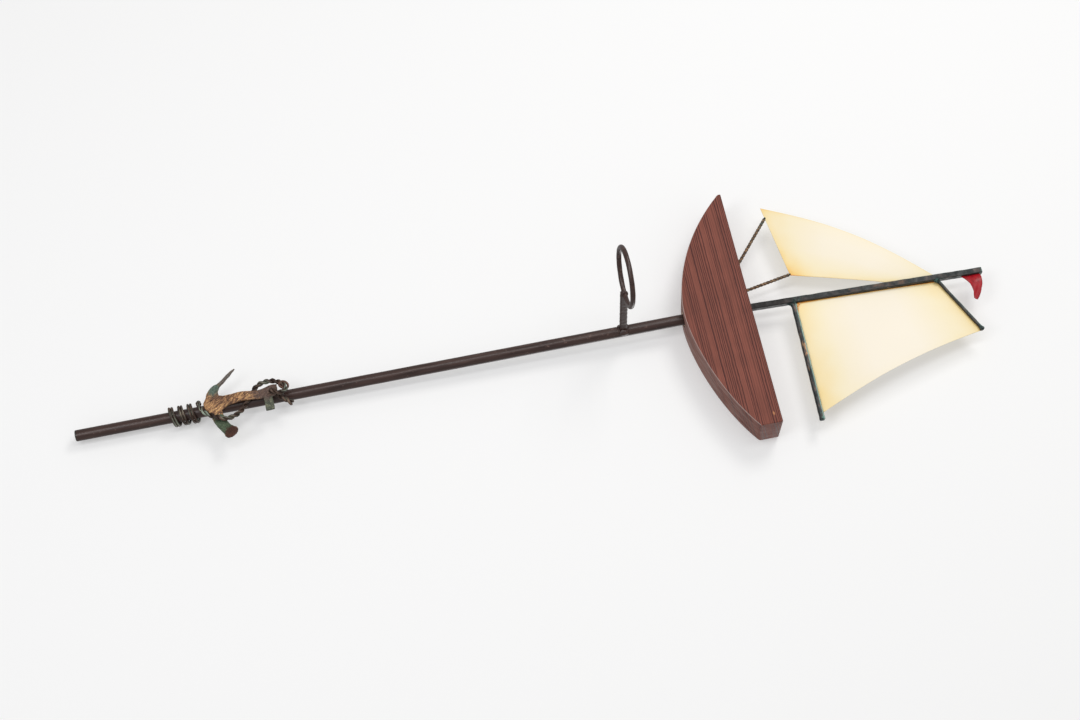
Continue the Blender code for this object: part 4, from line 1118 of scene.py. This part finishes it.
def close_rows(piece, rows, cols, uv):
    """Join front and back along the first and the last row with strips of quads."""
    old = piece.data
    verts = vertex_rows(old)
    wide = 2 * cols
    j = np.arange(cols - 1)
    strips = []
    for row, turn in ((0, False), (rows - 1, True)):
        quad = np.stack([row * wide + j, row * wide + wide - 1 - j, row * wide + wide - 2 - j,
            row * wide + j + 1], 1)
        strips.append(quad[:, ::-1] if turn else quad)
    faces = [list(face.vertices) for face in old.polygons] + np.concatenate(strips).tolist()
    place = np.empty(len(old.loops) * 2, np.float32)
    old.uv_layers[0].data.foreach_get("uv", place)
    more = np.concatenate(strips).ravel()
    extra = uv.reshape(-1, 2)[(more // wide) * (wide + 1) + more % wide]
    mesh = bpy.data.meshes.new(piece.name + "_closed")
    mesh.from_pydata(verts.tolist(), [], faces)
    layer = mesh.uv_layers.new(name="place")
    layer.data.foreach_set("uv", np.concatenate([place, extra.astype(np.float32).ravel()]))
    name = piece.name
    bpy.data.objects.remove(piece, do_unlink=True)
    bpy.data.meshes.remove(old)
    mesh.name = name
    face_out(mesh, verts, np.array(faces))
    return dress(mesh, 50.0)


# %% Mainsail
sheet_steel = 0.0009
foot_up = boom_side / 2 - 0.0004
luff_side = mast_side / 2 - 0.0004
behind = gaff_side / 2 + 0.0003 + sheet_steel / 2 + 0.0002
tack = on_mast(boom_height + foot_up, luff_side) + np.array([0, 0.0006, 0])
clew = boom_root + boom_way * (0.940 * boom_length) + boom_over * foot_up + np.array([0, 0.0006, 0])
peak = gaff_root + gaff_way * (gaff_length * 0.985) + np.array([0, behind, 0])
throat = gaff_root + gaff_way * (mast_side / 2 + 0.0016) + gaff_over * (gaff_side / 2 + 0.0005)
throat = throat + np.array([0, behind, 0])
chord = peak - clew
inward = norm([-chord[2], 0.0, chord[0]])
main_grid = coons(edge_line(tack, clew), edge_line(throat, peak), edge_line(tack, throat),
    edge_line(clew, peak, 0.0052, inward))
t = np.linspace(0, 1, 73)
main_grid[:, :, 1] -= 0.0080 * np.sin(np.pi * t)[:, None] ** 0.9 * np.sin(np.pi / 2 * t)[None, :]
main_grid[:, :, 1] += uneven(main_grid, 0.07, 0.00025, 61) * np.sin(np.pi * t)[:, None]
mainsail = sheet_piece("mainsail_sheet", main_grid, sheet_steel)
finish(mainsail, main_paint, "vane", "sail_paint", "mainsail")

# %% Tack lip
t_arc = np.linspace(0, math.pi / 2, 40)
lip_corner = tack + front_way * 0.0008
lip_line = lip_corner + (0.0016 + 0.0108 * (1 - np.cos(t_arc)))[:, None] * boom_way
lip_line = lip_line + (0.0004 + 0.0052 * (1 - np.sin(t_arc)))[:, None] * boom_over
lip_line = lip_line + front_way * (0.0012 * np.sin(2 * t_arc))[:, None]
lip_size = 0.0005 + 0.00035 * np.sin(np.linspace(0, math.pi, 40))
lip = tube("mainsail_tack_lip", lip_line, lip_size, around=12, seed=63, wander=0.00012)
lip_paint, lip_tree, lip_shader = new_material("chipped_amber_edge", Roughness=0.5)
lip_where = add(lip_tree, "TexCoord").outputs["Object"]
lip_noise = add(lip_tree, "TexNoise", {"Vector": lip_where, "Scale": 420.0, "Detail": 3.0})
lip_colour = add(lip_tree, "ValToRGB", {"Fac": lip_noise},
    stops=[(0.46, paint("D9822B")), (0.54, paint("EBB061")), (0.66, paint("BFD3BC"))])
feed(lip_shader, {"Base Color": lip_colour})
finish(lip, lip_paint, "vane", "sail_paint")

# %% Jib
jib_tack = np.array([-0.1235, 0.0, deck_height + 0.0482])
jib_clew = np.array([-0.0300, 0.0, deck_height + 0.0588])
seam_low, seam_high = on_mast(0.1700, -mast_side / 2 + 0.0004), on_mast(0.2205, -mast_side / 2 + 0.0004)
jib_chord = seam_high - jib_tack
outward = norm([-jib_chord[2], 0.0, jib_chord[0]])
jib_grid = coons(edge_line(jib_tack, jib_clew), edge_line(seam_high, seam_low),
    edge_line(jib_tack, seam_high, 0.0095, outward), edge_line(jib_clew, seam_low))
jib_grid[:, :, 1] -= 0.0050 * np.sin(np.pi * t)[:, None] * (1 - 0.75 * t[None, :] ** 2)
jib_grid[:, :, 1] += uneven(jib_grid, 0.07, 0.0002, 62) * np.sin(np.pi * t)[:, None]
jib = sheet_piece("jib_sheet", jib_grid, sheet_steel)
finish(jib, jib_paint, "vane", "sail_paint", "jib")

# %% [markdown]
# ## The pennant
#
# A scrap of thin sheet, painted gloss red and curled with pliers. The
# curl is a sine wave across the fly that grows towards the upper edge.

# %% Red paint and pennant


def red_gloss():
    """Gloss enamel with brushed darker streaks and a few scuffs."""
    made, tree, shader = new_material("gloss_red_enamel", Metallic=0.0, Specular_IOR_Level=0.28,
        Coat_Weight=0.08, Coat_Roughness=0.2)
    place = add(tree, "UVMap", uv_map="place")
    long_way = add(tree, "Mapping", {"Vector": place, "Scale": (3.0, 14.0, 1.0)})
    streak = add(tree, "TexNoise", {"Vector": long_way, "Scale": 1.6, "Detail": 4.0})
    colour = add(tree, "ValToRGB", {"Fac": streak}, stops=[(0.28, paint("6E0A14")),
        (0.5, paint("A00F1C")), (0.72, paint("B81A25"))])
    gloss = add(tree, "MapRange", {"Value": streak, "To": (0.32, 0.5)})
    bump = add(tree, "Bump", {"Height": streak, "Strength": 0.3, "Distance": 0.0004})
    feed(shader, {"Base Color": colour, "Roughness": gloss, "Normal": bump})
    return made


low_edge = np.array([(0.2502, 0.0031), (0.2545, 0.0085), (0.2578, 0.0150), (0.2592, 0.0225),
    (0.2588, 0.0285), (0.2584, 0.0325)])
high_edge = np.array([(0.2722, 0.0031), (0.2724, 0.0090), (0.2712, 0.0160), (0.2685, 0.0235),
    (0.2650, 0.0300), (0.2622, 0.0335)])
low_line, high_line = (np.array([on_mast(h, side) for h, side in through(rows,
    15)[1:74]]) for rows in (low_edge, high_edge))
flag = coons(low_line, high_line, edge_line(low_line[0], high_line[0]),
    edge_line(low_line[-1], high_line[-1], 0.0016, aft_way))
flag[:, :, 1] -= 0.0035 * np.sin(1.35 * np.pi * t)[None, :] * (0.4 + 0.6 * t[:, None])
flag[:, :, 1] += 0.0006 * np.sin(9.0 * t[None, :] + 4.0 * t[:, None]) * np.sin(np.pi * t)[:,
    None] ** 0.5
pennant = sheet_piece("pennant_sheet", flag, 0.0008)
finish(pennant, red_gloss(), "vane", "red_paint", "pennant")

# %% [markdown]
# ## Twisted wire
#
# The jib stands on two short twisted rods, and the anchor is lashed with two
# strands of wire. They lie side by side in the turns round the pole and are
# twisted together after them. A strand's centre is line + r (side cos a +
# up sin a). Past the change a grows by one turn a pitch. The second strand
# lies half a turn behind the first.

# %% Strands


def strands(name, line, step, radius, pitch, change, axis, seed, splay=0.0):
    """Two tubes round one line: side by side along the axis, twisted after the change.

    Beside each other: the angle a is that of the axis between the two cross
    directions, atan2(up . axis, side . axis). Past the change one turn is
    added every pitch. splay lets the strands part over the last 6 mm.
    """
    line, place = even(line, step)
    side, up = frames(line)
    left = place[-1] - place
    twisting = 1 / (1 + np.exp(-(place - change) / 0.004))
    lie = np.unwrap(np.arctan2(up @ axis, side @ axis))
    held = lie[np.searchsorted(place, change)]
    turn = lie * (1 - twisting) + held * twisting + np.cumsum(2 * math.pi * step * twisting / pitch)
    radius = radius * (1 + 0.12 * twisting)
    apart = radius * (0.98 + 0.10 * (1 - twisting) + splay * np.exp(-(left / 0.006) ** 2))
    made = []
    for k in (0, 1):
        a = turn + math.pi * k
        centre = line + apart[:, None] * (np.cos(a)[:, None] * side + np.sin(a)[:, None] * up)
        end = np.minimum(np.minimum(place, left) / radius, 1.0)
        thick = radius * np.sqrt(np.maximum(1 - (1 - end) ** 2,
            0.02)) * (1 + 0.12 * np.exp(-(left / 0.003) ** 2))
        made.append(tube(f"{name}_{'ab'[k]}", centre, thick, around=16, seed=seed + k, wander=0.00007,
            uv_step=step))
    return made


def wire_skin(name, stops, green_stops, green="8FA596"):
    """Dark iron wire with pale green patches, from its own UV.

    green_stops are (share of 0.6 m along the wire, amount).
    """
    wire_run = 0.6
    made, tree, shader = new_material(name, Metallic=0.5, Specular_IOR_Level=0.5)
    place = add(tree, "UVMap", uv_map="place")
    long_way = add(tree, "Mapping", {"Vector": place, "Scale": (90.0, 420.0, 1.0)})
    mottle = add(tree, "TexNoise", {"Vector": long_way, "Scale": 1.0, "Detail": 4.0, "Roughness": 0.65})
    skin = add(tree, "ValToRGB", {"Fac": mottle}, stops=stops)
    split = add(tree, "SeparateXYZ", {0: place})
    share = add(tree, "Math", {0: split.outputs["X"], 1: 1 / wire_run}, operation="MULTIPLY")
    amount = add(tree, "ValToRGB", {"Fac": share}, stops=green_stops)
    drawn = add(tree, "Mapping", {"Vector": place, "Scale": (45.0, 700.0, 1.0)})
    other = add(tree, "TexNoise", {"Vector": drawn, "Scale": 1.0, "Detail": 2.0})
    total = add(tree, "Math", {0: other, 1: amount}, operation="ADD")
    mask = add(tree, "MapRange", {"Value": total, "From": (0.60, 0.78)})
    final = add(tree, "Mix", {"Factor": mask, "A": skin, "B": paint(green)})
    gloss = add(tree, "MapRange", {"Value": mottle, "To": (0.3, 0.65)})
    bump = add(tree, "Bump", {"Height": mottle, "Strength": 0.4, "Distance": 0.0003})
    feed(shader, {"Base Color": final, "Roughness": gloss, "Normal": bump})
    return made


# %% Jib rods
rod_skin = wire_skin("patina_rod_wire", [(0.38, paint("17120F")), (0.5, paint("57412F")),
    (0.62, paint("B08A66"))], [(0.0, -0.2), (0.05, -0.1), (0.10, 0.10), (0.2, 0.16)], "44625F")


def twisted_rod(name, line, radius, pitch, lobes, depth, seed):
    """Rod whose skin turns as it goes.

    r = R (1 - depth + depth cos(lobes (a - 2 pi s / pitch))).
    """
    line, place = even(line, 0.0004)
    a = np.linspace(0, 2 * math.pi, 24, endpoint=False)
    ring = rays(*frames(line), 24)
    wave = np.cos(lobes * (a[None, :] - 2 * math.pi * place[:, None] / pitch))
    end = np.minimum(np.minimum(place, place[-1] - place) / radius, 1.0)
    size = radius * np.sqrt(np.maximum(1 - (1 - end) ** 2, 0.02))[:, None] * (1 - depth + depth * wave)
    points = line[:, None] + size[..., None] * ring
    points = points + uneven(points, 0.006, 0.00006, seed)[..., None] * ring
    round_it = np.linspace(0, 2 * math.pi, 25)[None, :] - 2 * math.pi * place[:, None] / pitch
    uv = np.stack([np.broadcast_to(place[:, None], round_it.shape), radius * round_it], -1)
    return surface(name, points, uv=uv, sharp=80.0)


for label, foot_x, share in (("jib_tack_strut", -0.0527, 0.150), ("jib_clew_strut", -0.0204, 0.988)):
    foot = np.array([foot_x, 0.0, deck_z(foot_x)])
    meet = jib_tack + (jib_clew - jib_tack) * share
    way = norm(meet - foot)
    line = np.stack([foot - way * 0.0115, meet - way * 0.0002])
    rod = twisted_rod(label + "_rod", line, 0.00195, 0.0085, 2, 0.11, 71)
    finish(rod, rod_skin, "vane", "patina_wire", label)
    finish(lump(label + "_tack_weld", meet - way * 0.0008 + front_way * 0.0002,
        (0.0019, 0.0015, 0.0013), way, (0, 1, 0), 73, 0.12), verdigris, "vane", "patina_wire")

# %% [markdown]
# ## The anchor
#
# Cut and hammered from 3 mm plate: a pierced shank, a pointed arm turned on
# edge, and a flat arm with a rounded palm. Each is a rounded strip carried
# through knots that give its middle, half width and half thickness. Remeshed
# together into one skin they get the soft inside corners of a forging, and
# hammer marks 1 to 3 mm across are pressed into that skin.

# %% Anchor strips
anchor_height = 0.1448
plate = 0.0030
crown_y = -(pole_radius + 0.0003 + plate / 2)
head_y = -(pole_radius + 0.0042 + 0.0009 + plate / 2)


def plate_y(height):
    """Middle of the shank's plate: it stands off above the crown, room for the wire."""
    t = np.clip((np.asarray(height) - 0.020) / 0.026, 0, 1)
    lean = 0.0016 * np.clip((np.asarray(height) - 0.054) / 0.020, 0, 1)
    return crown_y + (head_y - crown_y) * t * t * (3 - 2 * t) - lean


def strip(name, middles, wide, thick, per=9):
    """Superellipse carried through knots: middle + wide x + thick y."""
    middles, wide, thick = (through(v, per) for v in (middles, wide, thick))
    outline = squarish(4.5, 36)
    points = middles[:, None] + outline[None, :, :1] * wide[:, None] + outline[None, :, 1:] * thick[:,
        None]
    return surface(name, points)


def shank_strip():
    """Crown, shank and head; rows are height, x and width."""
    rows = np.array([(-0.0010, -0.0030, 0.0040), (0.0002, -0.0028, 0.0090), (0.0024, -0.0030, 0.0158),
        (0.0060, -0.0024, 0.0196), (0.0120, -0.0022, 0.0204), (0.0175, -0.0024, 0.0188),
        (0.0215, -0.0030, 0.0150), (0.0260, -0.0036, 0.0132), (0.0340, -0.0038, 0.0122),
        (0.0420, -0.0036, 0.0116), (0.0520, -0.0024, 0.0110), (0.0620, -0.0012, 0.0110),
        (0.0680, -0.0016, 0.0122), (0.0740, -0.0022, 0.0140), (0.0790, -0.0028, 0.0136),
        (0.0825, -0.0040, 0.0100)])
    middles = np.stack([rows[:, 1], plate_y(rows[:, 0]), anchor_height + rows[:, 0]], 1)
    wide = np.stack([rows[:, 2] / 2, 0 * rows[:, 2], 0 * rows[:, 2]], 1)
    thick = np.tile([0.0, plate / 2, 0.0], (len(rows), 1))
    return strip("anchor_forging", middles, wide, thick)


def arm_strip(name, rows):
    """Arm; rows are x, height, shift to the front, half width in the plate, half thickness.

    The width lies square to the way of the arm in the plate's own plane.
    """
    rows = np.array(rows)
    middles = np.stack([rows[:, 0], crown_y - rows[:, 2], anchor_height + rows[:, 1]], 1)
    way = norm(np.gradient(rows[:, :2], axis=0))
    across = np.stack([-way[:, 1], 0 * way[:, 0], way[:, 0]], 1)
    return strip(name, middles, across * rows[:, 3:4], np.array([0.0, 1.0, 0.0]) * rows[:, 4:5])


shank = shank_strip()
fore = arm_strip("fore_strip", [(-0.0040, 0.0095, 0.0000, 0.0074, 0.00150),
    (-0.0090, 0.0100, 0.0000, 0.0082, 0.00150), (-0.0138, 0.0104, 0.0002, 0.0069, 0.00150),
    (-0.0180, 0.0124, 0.0008, 0.0055, 0.00150), (-0.0208, 0.0149, 0.0014, 0.0041, 0.00165),
    (-0.0229, 0.0182, 0.0020, 0.0024, 0.00200), (-0.0252, 0.0219, 0.0026, 0.0019, 0.00240),
    (-0.0290, 0.0268, 0.0036, 0.0017, 0.00260), (-0.0332, 0.0321, 0.0044, 0.0016, 0.00210),
    (-0.0364, 0.0363, 0.0049, 0.0012, 0.00140), (-0.0383, 0.0388, 0.0052, 0.0006, 0.00070)])
aft = arm_strip("aft_strip", [(0.0030, 0.0100, 0.0000, 0.0078, 0.00150),
    (0.0092, 0.0122, 0.0000, 0.0068, 0.00150), (0.0162, 0.0139, 0.0000, 0.0066, 0.00150),
    (0.0240, 0.0174, 0.0003, 0.0064, 0.00150), (0.0298, 0.0208, 0.0014, 0.0062, 0.00140),
    (0.0334, 0.0236, 0.0028, 0.0070, 0.00140), (0.0366, 0.0260, 0.0043, 0.0082, 0.00140),
    (0.0394, 0.0278, 0.0056, 0.0074, 0.00135), (0.0412, 0.0292, 0.0065, 0.0048, 0.00125),
    (0.0421, 0.0298, 0.0068, 0.0020, 0.00110)])

# %% Anchor skin


def forged(piece, others, voxel):
    """Join the shells, skin them at one voxel size, smooth, and press in hammer marks."""
    shells = [piece, *others]
    verts, faces, base = [], [], 0
    for shell in shells:
        verts.append(vertex_rows(shell.data))
        faces += [[v + base for v in face.vertices] for face in shell.data.polygons]
        base += len(shell.data.vertices)
    joined = bpy.data.meshes.new(piece.name)
    joined.from_pydata(np.concatenate(verts).tolist(), [], faces)
    piece.data = joined
    for other in others:
        bpy.data.objects.remove(other, do_unlink=True)
    skin = piece.modifiers.new("skin", "REMESH")
    skin.mode = "VOXEL"
    skin.voxel_size = voxel
    calm = piece.modifiers.new("calm", "SMOOTH")
    calm.factor = 0.5
    calm.iterations = 4
    mesh = settled(piece)
    co, way = vertex_rows(mesh), vertex_rows(mesh, "normal")
    marks = uneven(co, 0.0052, 0.00014, 81) + uneven(co, 0.0022, 0.00005, 82)
    co = co + way * (marks - 0.00008)[:, None]
    mesh.vertices.foreach_set("co", co.ravel())
    mesh.update()
    mesh.shade_smooth()
    return piece


anchor = forged(shank, [fore, aft], 0.00042)
eye_height = 0.0762
eye = np.array([-0.0016, float(plate_y(eye_height)), anchor_height + eye_height])
drill = round_bar("eye_cutter", eye + np.array([0, -0.01, 0]), np.array([0, 1.0, 0]), 0.02, 0.0031, 1,
    0.0, 32, 4)
cut_out(anchor, [drill])
anchor.data.shade_smooth()
anchor.data.set_sharp_from_angle(angle=math.radians(50.0))
print("anchor is", [round(v * 1000, 1) for v in anchor.dimensions], "mm")

# %% [markdown]
# ## Heat colours on the anchor
#
# Hot forging leaves gold and bronze temper colours on steel; where the patina
# took, it turned green. So the crown and shank are gold-brown, the
# head grey-brown, both arm roots green, the palm and the point brown again.
# The spots are soft balls placed in the frame with ragged rims.

# %% Anchor material and pieces
forge_skin = object_patina("forged_temper_colours", [(0.36, paint("432D20")), (0.45, paint("6B4B38")),
    (0.53, paint("9F7551")), (0.63, paint("D0A674"))], [((-0.0020, -0.0140, 0.2160), 0.008, 0.026,
    "5D4A43", 0.92), ((-0.0310, -0.0125, 0.1760), 0.011, 0.019, "67625D", 0.88),
    ((-0.0200, -0.0095, 0.1575), 0.005, 0.011, "52655A", 0.95),
    ((0.0265, -0.0095, 0.1640), 0.012, 0.0175, "4A5D48", 0.95),
    ((0.0400, -0.0140, 0.1735), 0.009, 0.0135, "4A2C22", 0.97),
    ((-0.0105, -0.0085, 0.1625), 0.002, 0.008, "553A2E", 0.75),
    ((0.0040, -0.0085, 0.1725), 0.001, 0.006, "5C4132", 0.6),
    ((-0.0020, -0.0085, 0.1470), 0.002, 0.008, "B98A5C", 0.5),
    ((-0.0230, -0.0120, 0.1690), 0.0003, 0.003, "5A2A22", 0.6)], rough=(0.42, 0.78), metallic=0.3,
    wavelength=0.0015, stretch=4.5)
finish(anchor, forge_skin, "post", "forged_steel", "anchor_shank", "anchor_arm_fore", "anchor_arm_aft")
stock_skin = object_patina("forged_stock_patina", [(0.3, paint("30332C")), (0.5, paint("555A4C")),
    (0.7, paint("7F7F69"))], [((0.0040, -0.0140, 0.2150), 0.002, 0.007, "5F4C46", 0.8)], metallic=0.4)
stock_height = 0.0712
stock_y, stock_z = float(plate_y(stock_height)) + 0.0002, anchor_height + stock_height
stock = flat_bar("anchor_stock_bar", (0.0030, stock_y, stock_z),
    (0.0198, stock_y + 0.0006, stock_z + 0.0006), 0.0098, 0.0028, (0, 0, 1), 83)
finish(stock, stock_skin, "post", "forged_steel", "anchor_stock")

# %% [markdown]
# ## The lashing
#
# Twisted wire binds the anchor to the pole: a little over three turns round the
# pole, over the aft arm, behind the shank, round its head, through the eye and
# out to a short free tail. It is stiff iron wire that keeps its bends, fixed at
# both ends of its run, so it is modelled as part of the post.

# %% Lashing wire


def lashing_line():
    """Helix round the pole, then a smooth curve through knots."""
    wire, wrap, pitch = 0.0042, 0.0103, 0.0104
    tucked, turns, below_anchor = -0.75, 3.2, 0.0388
    t = np.linspace(tucked, 2 * math.pi * turns, 220)
    z = anchor_height - below_anchor + pitch * t / (2 * math.pi)
    helix = np.stack([-wrap * np.cos(t), -wrap * np.sin(t), z], 1)
    over = crown_y - plate / 2 - wire / 2 - 0.0006
    back = -(pole_radius + wire / 2 + 0.00045)
    h = anchor_height
    knots = np.array([(0.0062, over - 0.0002, h - 0.0018), (0.0110, over - 0.0003, h + 0.0042),
        (0.0160, over - 0.0008, h + 0.0124), (0.0196, over - 0.0010, h + 0.0207),
        (0.0190, over - 0.0002, h + 0.0292), (0.0144, over + 0.0022, h + 0.0370),
        (0.0080, back, h + 0.0430), (0.0004, back, h + 0.0484), (-0.0064, back - 0.0004, h + 0.0536),
        (-0.0114, back - 0.0024, h + 0.0586), (-0.0142, back - 0.0044, h + 0.0652),
        (-0.0144, back - 0.0062, h + 0.0732), (-0.0124, back - 0.0076, h + 0.0814),
        (-0.0074, back - 0.0086, h + 0.0884), (-0.0016, back - 0.0094, h + 0.0918),
        (0.0034, back - 0.0104, h + 0.0886), (0.0030, back - 0.0112, h + 0.0816),
        (0.0002, eye[1] - 0.0060, eye[2] + 0.0010), (eye[0], eye[1] - 0.0028, eye[2]), tuple(eye),
        (eye[0], eye[1] + 0.0022, eye[2] + 0.0001), (0.0004, back - 0.0001, eye[2] + 0.0034),
        (0.0052, back - 0.0006, eye[2] + 0.0090), (0.0094, back - 0.0008, eye[2] + 0.0142),
        (0.0150, back - 0.0004, eye[2] + 0.0206)])
    return np.concatenate([helix[:-1], through(np.concatenate([helix[-1:], knots]), 10)])


lashing_skin = wire_skin("patina_iron_wire", [(0.3, paint("1A1311")), (0.46, paint("3D2D26")),
    (0.60, paint("665246")), (0.75, paint("8C7766"))], [(0.0, 0.075), (0.27, 0.075), (0.35, 0.03),
    (0.45, 0.05), (0.55, 0.04), (1.0, 0.0)], "A9BDAA")
lashing = strands("lashing_strand", lashing_line(), 0.0005, 0.00136, 0.0150, 0.200,
    np.array([0.0, 0.0, 1.0]), 91, splay=0.15)
for strand in lashing:
    finish(strand, lashing_skin, "post", "patina_wire", "lashing_wire")

# %% [markdown]
# One strand is turned back into a small open curl beyond the anchor's head,
# as a pair of pliers leaves it. It is a flat spiral: the radius shrinks from
# 5.2 mm to 4.2 mm over one turn.

# %% Curl
turn = np.linspace(-0.6, 2 * math.pi * 1.05, 90)
size = np.interp(turn, [turn[0], turn[-1]], [0.0052, 0.0042])
curl_middle = np.array([-0.0052, -(pole_radius + 0.0118), anchor_height + 0.0900])
curl = curl_middle + size[:, None] * (np.cos(turn)[:, None] * np.array([0.92, 0.05,
    0.2]) + np.sin(turn)[:, None] * np.array([-0.12, 0.25, 0.95]))
curl[:, 1] += np.linspace(0.0016, -0.0012, len(turn))
curl_end = np.minimum(np.minimum(np.arange(len(turn)), np.arange(len(turn))[::-1]) / 3.0, 1.0)
curl_wire = tube("lashing_curl", curl, 0.00128 * np.sqrt(np.maximum(1 - (1 - curl_end) ** 2, 0.02)),
    around=14, seed=95, wander=0.00005, uv_step=0.0004)
curl_skin = wire_skin("copper_brown_wire", [(0.3, paint("2C1C17")), (0.5, paint("5A3E33")),
    (0.7, paint("94705A"))], [(0.0, -0.05), (1.0, -0.05)])
finish(curl_wire, curl_skin, "post", "patina_wire")

# %% [markdown]
# ## The hidden bearing
#
# Inside the hull a steel ball on the pole's end carries a hard disc, and a
# brass bush keeps the pole upright in its bore. Their shapes come straight
# from the frame. Each gets its own turned or ground finish.

# %% Bearing finishes


def turned_metal(name, tint, roughness, per_mm):
    """Bare metal with fine turning lines: noise stretched round the pole's axis."""
    made, tree, shader = new_material(name, Metallic=1.0)
    where = add(tree, "TexCoord").outputs["Object"]
    rings = add(tree, "Mapping", {"Vector": where, "Scale": (60.0, 60.0, per_mm * 1000)})
    lines = add(tree, "TexNoise", {"Vector": rings, "Scale": 1.0, "Detail": 3.0})
    colour = add(tree, "Mix", {"Factor": lines, "A": paint(tint), "B": paint("8C8578")})
    gloss = add(tree, "MapRange", {"Value": lines, "To": (roughness * 0.7, roughness * 1.4)})
    bump = add(tree, "Bump", {"Height": lines, "Strength": 0.2, "Distance": 0.0001})
    feed(shader, {"Base Color": colour, "Roughness": gloss, "Normal": bump})
    return made


for node, made in (("hull_bush", turned_metal("turned_brass", "C9A45A", 0.32, 2.0)),
        ("thrust_disc", turned_metal("ground_tool_steel", "B9BBBE", 0.28, 1.0)),
        ("pivot_ball", turned_metal("polished_ball_steel", "D3D5D8", 0.10, 0.5))):
    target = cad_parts[node]
    if not target.material_slots:
        target.data.materials.append(made)
    for slot in target.material_slots:
        slot.material = made
    print(node, "finished as", made.name)
